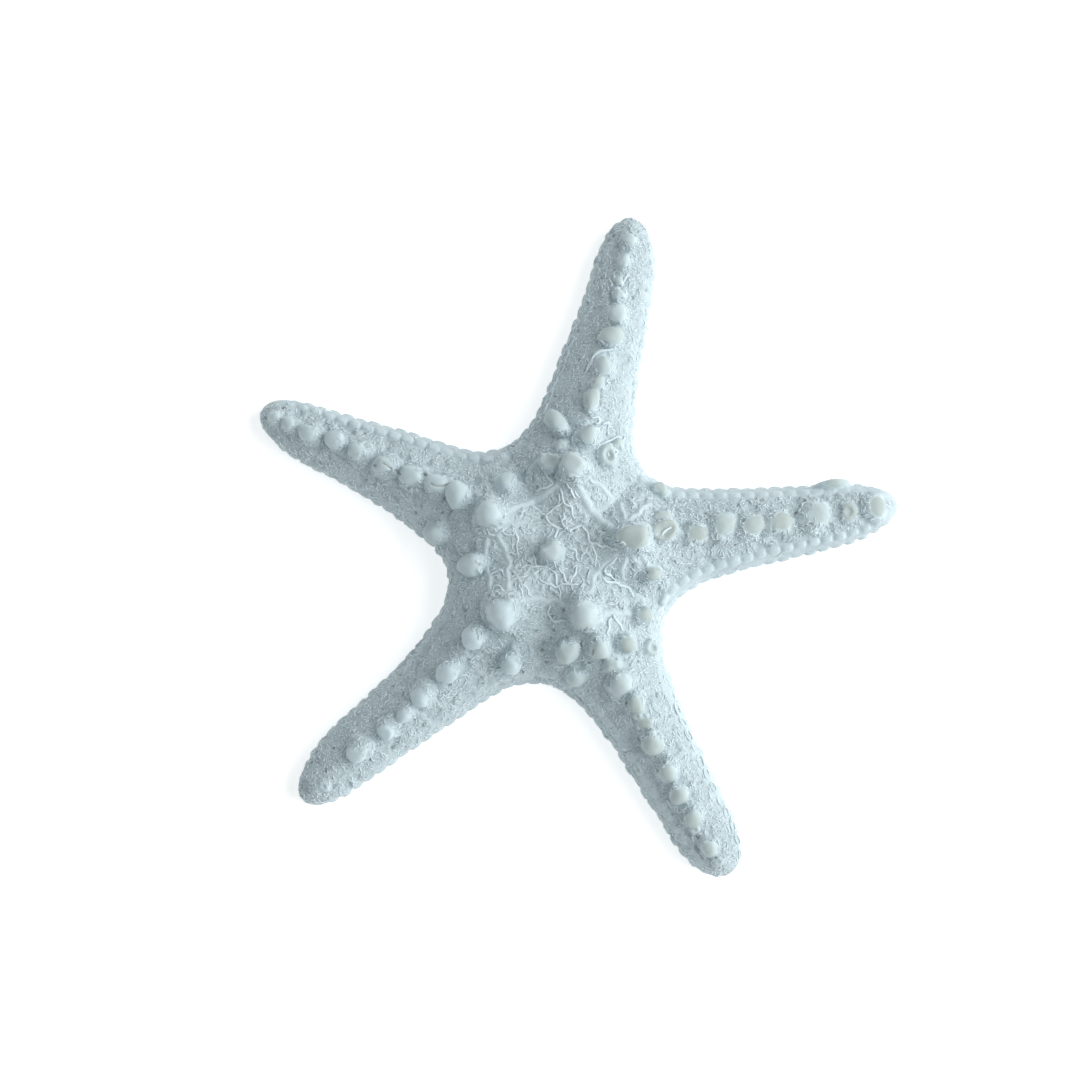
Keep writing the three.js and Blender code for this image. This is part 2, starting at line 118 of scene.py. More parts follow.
ARMS = (
    Arm("right", 8.7, 61.9, 9.1, 5.2, -0.2, 0.1, 14.0, 1.0, (
        Knob(13.0, 0.3, 2.5, 3.3, KnobForm.FLAT, 1.4, 4, 0),
        Knob(18.8, 0.8, 2.3, 1.5, KnobForm.BROKEN, 1.3, 20, 0),
        Knob(24.5, -0.4, 1.75, 1.05, KnobForm.DOME, 1.35, -5, 4),
        Knob(29.6, 0.4, 2.0, 1.15, KnobForm.DOME, 1.1, 0, 6),
        Knob(34.8, -0.4, 1.95, 1.15, KnobForm.DOME, 1.32, 8, 6),
        Knob(39.6, -0.4, 1.95, 1.2, KnobForm.DOME, 1.25, 5, 8),
        Knob(46.2, -0.2, 2.3, 1.35, KnobForm.BEAK, 1.2, 12, 6),
        Knob(52.3, -0.4, 1.65, 0.7, KnobForm.RING),
        Knob(57.3, -0.2, 1.85, 1.1, KnobForm.DOME, 1.1, 0, 12),
        Knob(15.6, -6.2, 1.5, 2.0, KnobForm.DOME, 1.3, 10, 10),
        Knob(19.1, 3.3, 1.5, 1.0, KnobForm.STUB, 1.4, 10, 0),
        Knob(19.5, 8.4, 1.4, 1.5, KnobForm.FLAT),
        Knob(50.6, 5.0, 1.45, 1.6, KnobForm.DOME, 2.4, 3, 0),
        Knob(12.7, -13.2, 1.75, 2.3, KnobForm.DOME, 1.1, 0, 10),
    )),
    Arm("top", 77.5, 63.1, 9.2, 5.3, -0.2, 0.4, 11.5, 0.6, (
        Knob(14.7, 0.6, 2.4, 4.0, KnobForm.FLAT, 1.05, 90, 0),
        Knob(20.8, -0.6, 1.9, 2.3, KnobForm.DOME, 1.15, -20, 0),
        Knob(27.6, 0.1, 1.75, 2.1, KnobForm.EGG, 1.85, 4, 6),
        Knob(30.9, -0.3, 1.35, 1.5, KnobForm.DOME, 1.2, -10, 8),
        Knob(33.9, -0.6, 1.75, 1.9, KnobForm.DOME, 1.05, 0, 5),
        Knob(39.8, -0.8, 2.05, 2.3, KnobForm.EGG, 1.2, -50, 8),
        Knob(44.1, -1.0, 1.75, 2.0, KnobForm.FLAT, 1.15, -10, 5),
        Knob(47.8, -0.6, 1.2, 1.1, KnobForm.STUB),
        Knob(50.4, 0.0, 0.9, 0.8, KnobForm.STUB),
        Knob(54.0, -0.2, 1.3, 1.5, KnobForm.DOME, 1.4, -8, 6),
        Knob(58.0, -0.3, 1.4, 1.4, KnobForm.DOME, 1.15, 0, 8),
        Knob(22.1, 4.5, 2.1, 3.6, KnobForm.EGG, 1.6, 52, 24),
        Knob(18.3, -4.6, 2.1, 1.8, KnobForm.RING, 1.2, 30, 0),
        Knob(21.2, -5.9, 1.2, 1.1, KnobForm.STUB, 1.3, -60, 0),
        Knob(18.7, 3.5, 1.2, 1.2, KnobForm.STUB),
        Knob(14.8, 4.4, 1.95, 2.5, KnobForm.BROKEN, 1.15, 80, 0),
    )),
    Arm("left", 153.7, 59.7, 9.1, 4.9, -0.8, -0.5, 11.2, 0.35, (
        Knob(13.4, -0.2, 2.4, 4.0, KnobForm.DOME, 1.1, 0, 0),
        Knob(19.8, -0.9, 2.35, 3.3, KnobForm.EGG, 1.1, -20, 12),
        Knob(24.4, -1.2, 2.15, 2.5, KnobForm.SLIT, 1.3, 10, 8),
        Knob(29.2, -0.8, 2.05, 2.3, KnobForm.DOME, 1.35, 8, 10),
        Knob(34.4, -0.4, 1.95, 2.4, KnobForm.DOME, 1.4, 12, 10),
        Knob(39.8, -0.5, 1.75, 2.2, KnobForm.DOME, 1.2, 0, 10),
        Knob(44.5, -0.5, 1.8, 2.2, KnobForm.EGG, 1.2, 0, 10),
        Knob(49.2, 0.3, 1.8, 2.1, KnobForm.DOME, 1.28, 0, 10),
        Knob(53.4, 0.3, 1.35, 1.7, KnobForm.DOME, 1.3, 10, 8),
        Knob(56.3, 0.3, 1.1, 1.4, KnobForm.DOME),
        Knob(13.5, -6.7, 1.85, 2.4, KnobForm.DOME, 1.25, -60, 10),
        Knob(20.9, 5.9, 2.0, 2.8, KnobForm.DOME, 1.05, 60, 14),
        Knob(12.5, 8.0, 2.25, 3.5, KnobForm.EGG, 1.1, 60, 12),
    )),
    Arm("lower_left", 223.9, 63.1, 8.3, 5.4, 0.9, 0.7, 14.0, 0.15, (
        Knob(14.3, 1.1, 2.8, 4.2, KnobForm.DOME, 1.05, 0, 0),
        Knob(20.6, 0.5, 2.1, 3.6, KnobForm.EGG, 1.2, 5, 22),
        Knob(28.3, 1.6, 2.05, 2.9, KnobForm.EGG, 1.25, 5, 24),
        Knob(34.8, 1.5, 1.85, 2.3, KnobForm.DOME, 1.2, 5, 18),
        Knob(39.2, 1.7, 1.5, 1.9, KnobForm.DOME, 1.2, 5, 16),
        Knob(43.3, 1.5, 1.6, 2.0, KnobForm.FLAT, 1.2, 10, 30),
        Knob(49.7, 0.7, 1.8, 2.2, KnobForm.FLAT, 1.25, 10, 32),
        Knob(58.3, 0.9, 1.0, 0.8, KnobForm.RING, 1.0, 0, 10),
        Knob(18.8, 7.5, 2.0, 3.8, KnobForm.EGG, 1.3, 45, 28),
    )),
    Arm("lower_right", 298.2, 64.4, 8.4, 5.6, -0.4, 0.0, 10.4, 0.75, (
        Knob(11.9, -1.1, 2.55, 4.0, KnobForm.DOME, 1.2, 0, 0),
        Knob(17.7, -1.6, 2.1, 3.2, KnobForm.DOME, 1.1, 0, 12),
        Knob(21.7, -1.0, 1.7, 1.4, KnobForm.STUB),
        Knob(25.4, -1.2, 2.1, 2.6, KnobForm.DOME, 1.05, 0, 10),
        Knob(29.8, -0.6, 1.7, 1.9, KnobForm.DOME, 1.3, -10, 6),
        Knob(32.0, -1.4, 0.8, 0.9, KnobForm.RING),
        Knob(33.6, -0.7, 1.3, 0.9, KnobForm.STUB, 1.3, 70, 0),
        Knob(37.0, -1.1, 2.1, 2.9, KnobForm.EGG, 1.2, -10, 16),
        Knob(42.9, -1.2, 1.75, 2.1, KnobForm.DOME, 1.1, 0, 8),
        Knob(47.4, -1.3, 1.75, 2.4, KnobForm.EGG, 1.1, 0, 12),
        Knob(52.3, -1.2, 1.65, 1.9, KnobForm.DOME, 1.1, 0, 8),
        Knob(54.4, -1.8, 0.85, 0.7, KnobForm.RING, 1.4, 90, 0),
        Knob(58.2, -1.0, 1.6, 1.7, KnobForm.DOME, 1.15, 0, 10),
        Knob(61.3, -0.8, 1.0, 0.7, KnobForm.RING),
        Knob(15.8, -6.3, 2.1, 3.4, KnobForm.EGG, 1.1, -30, 16),
        Knob(20.7, -7.4, 1.7, 2.0, KnobForm.DOME, 1.1, -30, 14),
        Knob(19.7, 2.7, 1.75, 2.3, KnobForm.DOME, 1.1, 20, 6),
        Knob(22.5, 6.4, 1.5, 1.2, KnobForm.RING, 1.1, 0, 0),
    )),
)

# NOTCHES[i] lies between ARMS[i] and the next arm round.
NOTCHES = (
    Notch(43.1, 21.9),
    Notch(115.6, 21.9),
    Notch(188.8, 20.0),
    Notch(261.1, 23.1),
    Notch(333.4, 22.3),
)
DISC_CENTRE = np.array([-3.75, -2.25])
CENTRE_KNOB = Knob(-1.1, -0.1, 1.95, 2.7, KnobForm.FLAT, 1.05)


def smooth(low: float, high: float, value: np.ndarray) -> np.ndarray:
    """A soft step from 0 at low to 1 at high."""
    way = np.clip((value - low) / (high - low), 0.0, 1.0)
    return way * way * (3.0 - 2.0 * way)


def unit(degrees: float) -> np.ndarray:
    """The direction of a heading in degrees."""
    angle = math.radians(degrees)
    return np.array([math.cos(angle), math.sin(angle)])


def to_frame(arm: Arm, along: Any, aside: Any) -> np.ndarray:
    """Arm coordinates, numbers or arrays, as places in the frame's plane."""
    out = unit(arm.heading)
    left = np.array([-out[1], out[0]])
    along = np.asarray(along, float)[..., None]
    aside = np.asarray(aside, float)[..., None]
    return DISC_CENTRE + along * out + aside * left


def linked(name: str, data: Any) -> Object:
    """A new object of some data, in the scene."""
    thing = bpy.data.objects.new(name, data)
    bpy.context.scene.collection.objects.link(thing)
    return thing


def mesh_object(name: str, places: np.ndarray, faces: list | np.ndarray) -> Object:
    """Makes a linked mesh object.

    Args:
        name: The object's name.
        places: Vertex places in millimetres, one row each.
        faces: Rows of vertex numbers.

    Returns:
        The object, at the origin, with its place in its mesh.
    """
    mesh = bpy.data.meshes.new(name)
    mesh.from_pydata((np.asarray(places) * MM).tolist(), [], [list(map(int, face)) for face in faces])
    mesh.update()
    return linked(name, mesh)


def tube_faces(rings: int, sides: int) -> list[tuple[int, ...]]:
    """The faces of a capped tube whose points come ring by ring."""
    faces = [tuple(range(sides - 1, -1, -1)), tuple((rings - 1) * sides + i for i in range(sides))]
    for start in range(0, (rings - 1) * sides, sides):
        for i in range(sides):
            a, b = start + i, start + (i + 1) % sides
            faces.append((a, b, b + sides, a + sides))
    return faces


def face_outward(thing: Object) -> None:
    """Turns a closed mesh's faces outward."""
    solid = bmesh.new()
    solid.from_mesh(thing.data)
    bmesh.ops.recalc_face_normals(solid, faces=solid.faces)
    solid.to_mesh(thing.data)
    solid.free()


def shade_smooth(thing: Object) -> None:
    """Gives every face smooth shading."""
    thing.data.polygons.foreach_set("use_smooth", np.ones(len(thing.data.polygons), bool))


def dress(thing: Object, material: Material) -> Object:
    """Gives a piece its one material and smooth shading."""
    thing.data.materials.clear()
    thing.data.materials.append(material)
    shade_smooth(thing)
    thing.data.update()
    return thing


def places_of(mesh: Mesh) -> np.ndarray:
    """A mesh's vertex places in millimetres."""
    flat = np.empty(len(mesh.vertices) * 3, np.float32)
    mesh.vertices.foreach_get("co", flat)
    return flat.reshape(-1, 3).astype(float) / MM


def freeze(thing: Object) -> Object:
    """Turns an object and its modifiers into a plain mesh object of the same name."""
    name = thing.name
    graph = bpy.context.evaluated_depsgraph_get()
    seen = thing.evaluated_get(graph)
    mesh = bpy.data.meshes.new_from_object(seen, preserve_all_data_layers=True, depsgraph=graph)
    bpy.data.objects.remove(thing)
    mesh.name = name
    plain = linked(name, mesh)
    bpy.context.view_layer.update()
    return plain


def write_values(mesh: Mesh, name: str, values: np.ndarray) -> None:
    """Stores one number per vertex under a name that materials and node trees read."""
    layer = mesh.attributes.get(name) or mesh.attributes.new(name, "FLOAT", "POINT")
    layer.data.foreach_set("value", np.asarray(values, np.float32))


@dataclass
class Flank:
    """One side of an arm, from its crest to the notch beside it. side is 1 left, -1 right."""

    index: int
    side: int
    arm_start: float = ARM_START
    width_start: float = 20.0
    web_lean: float = 0.2
    arm: Arm = field(init=False)
    notch: Notch = field(init=False)
    spread: float = field(init=False)
    notch_along: float = field(init=False)
    notch_aside: float = field(init=False)
    web: float = field(init=False)
    web_fade: float = field(init=False)

    def __post_init__(self) -> None:
        """Works out where the notch lies and how the web fades along the arm."""
        self.arm = ARMS[self.index]
        self.notch = NOTCHES[self.index if self.side > 0 else self.index - 1]
        self.spread = math.radians((self.side * (self.notch.heading - self.arm.heading)) % 360)
        self.notch_along = self.notch.radius * math.cos(self.spread)
        self.notch_aside = self.notch.radius * math.sin(self.spread)
        lean = (self.width_start - self.notch_along) * self.web_lean
        self.web = self.notch_aside - (self.arm.root_half_width + lean)
        self.web_fade = self.web / (1 / math.tan(self.spread) - self.web_lean)

    def half_width(self, along: np.ndarray) -> np.ndarray:
        """Distance from the arm's own middle line to its edge."""
        arm = self.arm
        along = np.asarray(along, float)
        way = np.clip((along - self.width_start) / (arm.length - self.width_start), 0, 1)
        own = arm.end_half_width + (arm.root_half_width - arm.end_half_width) * (1 - way) ** 1.5
        lean = np.maximum(0, self.width_start - along) * self.web_lean
        near = np.clip((along - self.notch_along) / self.width_start, 0, 1)
        web = self.web * np.exp(-(along - self.notch_along) / self.web_fade) * (1 - near**4)
        return (own + lean) * tip_round(arm, along) + web


def tip_round(arm: Arm, along: np.ndarray) -> np.ndarray:
    """1 along most of an arm, rounding down to 0 at its tip."""
    left = np.clip((arm.length - np.asarray(along, float)) / arm.tip, 0, 1)
    return np.sqrt(np.maximum(0, 1 - (1 - left) ** 2.4))


def tip_squash(arm: Arm, along: Any) -> np.ndarray:
    """1 along most of an arm, falling to 0 at its tip: how much of its height is left."""
    return np.minimum(1, (tip_round(arm, along) * 1.5) ** 0.8)


def arm_way(arm: Arm, along: Any) -> np.ndarray:
    """0 where an arm leaves the disc, 1 at its tip."""
    return np.clip((np.asarray(along, float) - ARM_START) / (arm.length - ARM_START), 0, 1)


def axis_offset(arm: Arm, along: Any) -> np.ndarray:
    """How far an arm's middle line wanders aside of its heading."""
    way = arm_way(arm, along)
    return arm.bow * np.sin(np.pi * way) + arm.sway * np.sin(2 * np.pi * way)


@dataclass(frozen=True)
class Relief:
    """The upper side's heights, in millimetres."""

    crest_root: float = 13.6
    crest_tip: float = 5.8
    shoulder: float = 2.2
    shoulder_place: float = 13.0
    shoulder_reach: float = 5.0
    dip: float = 0.8
    dip_reach: float = 7.0
    margin_root: float = 5.4
    margin_tip: float = 4.2
    side_power: float = 1.5
    valley_power: float = 2.2

    def crest(self, arm: Arm, along: Any) -> np.ndarray:
        """Height of an arm's crest line."""
        along = np.asarray(along, float)
        shoulder = np.exp(-(((along - self.shoulder_place) / self.shoulder_reach) ** 2))
        dip = np.exp(-((along / self.dip_reach) ** 2))
        slope = (self.crest_tip - self.crest_root) * along / arm.length
        return self.crest_root + slope + self.shoulder * shoulder - self.dip * dip

    def margin(self, arm: Arm, along: Any) -> np.ndarray:
        """Height of an arm's upper edge."""
        return self.margin_root + (self.margin_tip - self.margin_root) * arm_way(arm, along)

    def on_arm(self, arm: Arm, along: Any, share: Any) -> np.ndarray:
        """Surface height on an arm, share being 0 on the crest and 1 at the edge."""
        margin = self.margin(arm, along)
        return margin + (self.crest(arm, along) - margin) * (1 - np.asarray(share, float) ** self.side_power)

    def on_disc(self, arm: Arm, reach: Any, share: Any) -> np.ndarray:
        """Surface height on the disc, reach being 0 at its centre and 1 at the notch."""
        reach = np.asarray(reach, float)
        middle = self.crest_root - self.dip
        rim = self.margin_root + (middle - self.margin_root) * (1 - reach**self.valley_power)
        crest = self.crest(arm, reach * ARM_START)
        return rim + (crest - rim) * (1 - np.asarray(share, float) ** self.side_power)


@dataclass(frozen=True)
class View:
    """Where the photo was taken from, in millimetres and degrees."""

    elevation: float = 85.0
    distance: float = 450.0
    target: tuple[float, float, float] = (-6.98, 0.64, 2.5)
    lens: float = 83.33
    sensor: float = 36.0
    frame_pixels: int = 1080

    @property
    def ahead(self) -> np.ndarray:
        """The way the camera looks."""
        angle = math.radians(self.elevation)
        return np.array([0.0, math.cos(angle), -math.sin(angle)])

    @property
    def eye(self) -> np.ndarray:
        """The camera's place."""
        return np.array(self.target) - self.ahead * self.distance

    def rays(self, pixels: np.ndarray) -> np.ndarray:
        """The way from the camera through each pixel."""
        focal = self.lens / self.sensor * self.frame_pixels
        right = np.array([1.0, 0.0, 0.0])
        up = np.cross(right, self.ahead)
        from_middle = (pixels + 0.5 - self.frame_pixels / 2) / focal
        return self.ahead + from_middle[:, :1] * right - from_middle[:, 1:] * up


@dataclass(frozen=True)
class Reading:
    """What the plan says about a set of places, one value each; lengths in millimetres."""

    arm: np.ndarray
    height: np.ndarray
    from_edge: np.ndarray
    on_left: np.ndarray


@dataclass
class StarPlan:
    """Answers where a place lies on the animal and how high the upper side is there."""

    relief: Relief = field(default_factory=Relief)
    first_level: float = 10.0
    rounds: int = 6
    flanks: dict[tuple[int, int], Flank] = field(init=False)

    def __post_init__(self) -> None:
        """Lays out the ten flanks."""
        self.flanks = {(i, side): Flank(i, side) for i in range(len(ARMS)) for side in (1, -1)}

    def arm_coordinates(self, places: np.ndarray) -> tuple[np.ndarray, np.ndarray, np.ndarray]:
        """Finds the arm that each place belongs to.

        Args:
            places: Places in the frame's plane, one row each.

        Returns:
            Arm numbers, distances along and distances aside.
        """
        from_centre = places[:, :2] - DISC_CENTRE
        angle = np.degrees(np.arctan2(from_centre[:, 1], from_centre[:, 0]))
        shares = []
        for i, arm in enumerate(ARMS):
            turn = (angle - arm.heading + 180) % 360 - 180
            left = math.degrees(self.flanks[(i, 1)].spread)
            right = math.degrees(self.flanks[(i, -1)].spread)
            shares.append(np.abs(turn) / np.where(turn > 0, left, right))
        which = np.argmin(np.array(shares), axis=0)
        out = np.array([unit(arm.heading) for arm in ARMS])[which]
        along = (from_centre * out).sum(1)
        aside = from_centre[:, 1] * out[:, 0] - from_centre[:, 0] * out[:, 1]
        return which, along, aside

    def read(self, places: np.ndarray) -> Reading:
        """Finds each place's arm, height, distance from the edge and side of the arm."""
        which, along, aside = self.arm_coordinates(places)
        height = np.zeros(len(along))
        from_edge = np.zeros(len(along))
        on_left = np.zeros(len(along), bool)
        for (i, side), flank in self.flanks.items():
            offset = axis_offset(flank.arm, along)
            mine = (which == i) & ((aside >= offset) == (side > 0))
            on_left |= mine & (side > 0)
            outer = mine & (along >= flank.arm_start)
            width = np.maximum(flank.half_width(along[outer]), 0.05)
            share = np.abs(aside[outer] - offset[outer]) / width
            height[outer] = self.relief.on_arm(flank.arm, along[outer], np.minimum(share, 1))
            from_edge[outer] = (1 - share) * width
            inner = mine & ~outer
            across = np.abs(aside[inner]) / flank.notch_aside
            reach = (along[inner] - across * (flank.notch_along - flank.arm_start)) / flank.arm_start
            reach = np.maximum(reach, 0.01)
            share = across / reach
            height[inner] = self.relief.on_disc(flank.arm, reach, np.minimum(share, 1))
            from_edge[inner] = (1 - share * np.minimum(reach, 1)) * flank.notch.radius * 0.7
        return Reading(which, height, from_edge, on_left)

    def height_at(self, place: np.ndarray) -> float:
        """Surface height at one place."""
        return float(self.read(place[None, :2]).height[0])

    def under_pixels(self, pixels: Any, view: View) -> np.ndarray:
        """Drops pixels of the photo onto the upper side.

        Args:
            pixels: Rows of x and y in the 1080 by 1080 photo.
            view: The camera's stand.

        Returns:
            Rows of x and y in the frame, in millimetres.
        """
        rays = view.rays(np.asarray(pixels, float))
        level = np.full(len(rays), self.first_level)
        for _ in range(self.rounds):
            hit = view.eye + rays * ((level - view.eye[2]) / rays[:, 2])[:, None]
            level = self.read(hit[:, :2]).height
        return hit[:, :2]

    def facing(self, place: np.ndarray, follow: float = 0.6, probe: float = 1.0) -> np.ndarray:
        """The way a knob grows at a place: partly the surface's own normal, partly straight up."""
        east = np.array([probe, 0.0])
        north = np.array([0.0, probe])
        slope = np.array([
            self.height_at(place + east) - self.height_at(place - east),
            self.height_at(place + north) - self.height_at(place - north),
        ]) / (2 * probe)
        normal = np.array([-slope[0] * follow, -slope[1] * follow, 1.0])
        return normal / np.linalg.norm(normal)


@dataclass
class BodyShell:
    """The plain body under the knobs and plates: top, rounded edge and grooved underside."""

    plan: StarPlan
    base: float = 0.3
    inset: float = 0.32
    groove_depth: float = 1.7
    mouth_depth: float = 2.6
    groove_share: float = 0.3
    arm_step: float = 0.8
    groove_places: tuple[float, ...] = (0.0, 0.4, 0.8, 1.1, 1.5, 2.0)
    under_shares: tuple[float, ...] = (0.35, 0.55, 0.72, 0.88)
    wall_turns: tuple[float, ...] = (-75.0, -50.0, -25.0, 0.0, 25.0, 50.0, 72.0)
    wall_share: float = 0.06
    top_shares: tuple[float, ...] = (0.88, 0.78, 0.68, 0.58, 0.48, 0.38, 0.28, 0.18, 0.09, 0.0)
    disc_reaches: tuple[float, ...] = (0.06, 0.12, 0.18, 0.24, 0.32, 0.4, 0.5, 0.6, 0.7, 0.8, 0.9, 1.0)

    def under_height(self, aside: np.ndarray, reach: float) -> np.ndarray:
        """Height of the underside at a distance from the groove's middle line."""
        depth = self.groove_depth * (1 - smooth(0.45, 1.5, aside))
        mouth = self.mouth_depth * (1 - smooth(0.08, 0.2, np.full(aside.shape, reach)))
        return self.base + np.maximum(depth, mouth)

    def ring(self, flank: Flank, reach: float | None, along: float) -> np.ndarray:
        """The points of half a section from the groove round the edge to the crest.

        Args:
            flank: The side of the arm.
            reach: How far out on the disc, 1 at the notch, or None beyond it.
            along: Distance along the arm, used beyond the notch.

        Returns:
            One row per point, in millimetres.
        """
        arm = flank.arm
        relief = self.plan.relief
        if reach is None:
            stretch = (arm.length - flank.notch_along) / (arm.length - flank.arm_start)
            edge_along = flank.notch_along + (along - flank.arm_start) * stretch
            half = float(flank.half_width(edge_along))
            near_tip = float(smooth(0.5, 8.0, arm.length - edge_along))
            half = max(half - self.inset * (0.25 + 0.75 * near_tip) * min(1.0, half), 0.02)
            edge_aside = flank.side * half + float(axis_offset(arm, edge_along))
            edge = to_frame(arm, edge_along, edge_aside)
            axis = to_frame(arm, along, axis_offset(arm, along))
            margin = float(relief.margin(arm, along))
        else:
            edge = DISC_CENTRE + unit(flank.notch.heading) * (flank.notch.radius - self.inset) * reach
            axis = DISC_CENTRE + unit(arm.heading) * flank.arm_start * reach
            margin = relief.margin_root
        span = float(np.linalg.norm(edge - axis))
        even = np.linspace(0, self.groove_share, len(self.groove_places))
        grooves = np.minimum(np.array(self.groove_places) / span, even)
        under = np.concatenate([grooves, self.under_shares])
        under_z = self.under_height(under * span, 1.0 if reach is None else reach)
        top = np.array(self.top_shares)
        if reach is None:
            top_z = relief.on_arm(arm, along, top)
        else:
            top_z = relief.on_disc(arm, reach, top)
        if reach is not None and reach < 1:
            wall = np.array([1.0, 1.0])
            wall_z = np.array([under_z[-1], float(relief.on_disc(arm, reach, 1.0))])
        else:
            turn = np.radians(self.wall_turns)
            wall = 1 - self.wall_share * (1 - np.cos(turn))
            wall_z = self.base + (margin - self.base) * (0.5 + 0.5 * np.sin(turn))
        shares = np.concatenate([under, wall, top])
        heights = np.concatenate([under_z, wall_z, top_z])
        if reach is None:
            heights = margin / 2 + (heights - margin / 2) * float(tip_squash(arm, along))
        flat = axis + (edge - axis) * shares[:, None]
        if reach is not None:
            on_notch = shares > 0.9
            flat[on_notch] = DISC_CENTRE + (edge - DISC_CENTRE) * shares[on_notch, None]
        return np.column_stack([flat, heights])

    def arm_stations(self, arm: Arm) -> list[float]:
        """Distances along an arm at which sections are taken, closer together at the tip."""
        free = arm.length - ARM_START
        count = int(free / self.arm_step)
        even = ARM_START + free * np.arange(1, count) / count
        near_tip = arm.length - np.array([0.5, 0.25, 0.1, 0.03])
        return [*even.tolist(), *near_tip.tolist()]

    def build(self) -> Object:
        """Joins the ten flanks into one closed mesh."""
        places: list[np.ndarray] = []
        faces: list[tuple[int, ...]] = []
        low = len(self.groove_places) + len(self.under_shares) + 1
        high = len(self.top_shares) + 1

        def add(rows: np.ndarray) -> np.ndarray:
            """Adds points and returns their numbers."""
            start = sum(len(block) for block in places)
            places.append(rows)
            return np.arange(start, start + len(rows))

        def stitch(near: np.ndarray, far: np.ndarray, side: int) -> None:
            """Adds the faces between two sections."""
            for a, b, c, d in zip(near[:-1], far[:-1], far[1:], near[1:]):
                faces.append((a, d, c, b) if side > 0 else (a, b, c, d))

        for flank in self.plan.flanks.values():
            side = flank.side
            middle = self.plan.relief.crest_root - self.plan.relief.dip
            under = add(np.tile([*DISC_CENTRE, self.base + self.mouth_depth], (low, 1)))
            over = add(np.tile([*DISC_CENTRE, middle], (high, 1)))
            ring = under
            for reach in self.disc_reaches:
                ring = add(self.ring(flank, reach, 0.0))
                stitch(under, ring[:low], side)
                stitch(over, ring[-high:], side)
                under, over = ring[:low], ring[-high:]
            for along in self.arm_stations(flank.arm):
                following = add(self.ring(flank, None, along))
                stitch(ring, following, side)
                ring = following
            arm = flank.arm
            end = to_frame(arm, arm.length, axis_offset(arm, arm.length))
            tip = [*end, float(self.plan.relief.margin(arm, arm.length)) / 2]
            stitch(ring, add(np.tile(tip, (len(ring), 1))), side)
        shell = mesh_object("body_shell", np.concatenate(places), faces)
        solid = bmesh.new()
        solid.from_mesh(shell.data)
        bmesh.ops.remove_doubles(solid, verts=solid.verts, dist=1e-6)
        bmesh.ops.dissolve_degenerate(solid, dist=1e-7, edges=solid.edges)
        bmesh.ops.recalc_face_normals(solid, faces=solid.faces)
        solid.to_mesh(shell.data)
        solid.free()
        return shell


# Marks the ring of a knob's profile that lies under the skin.
FOOT = -9.0


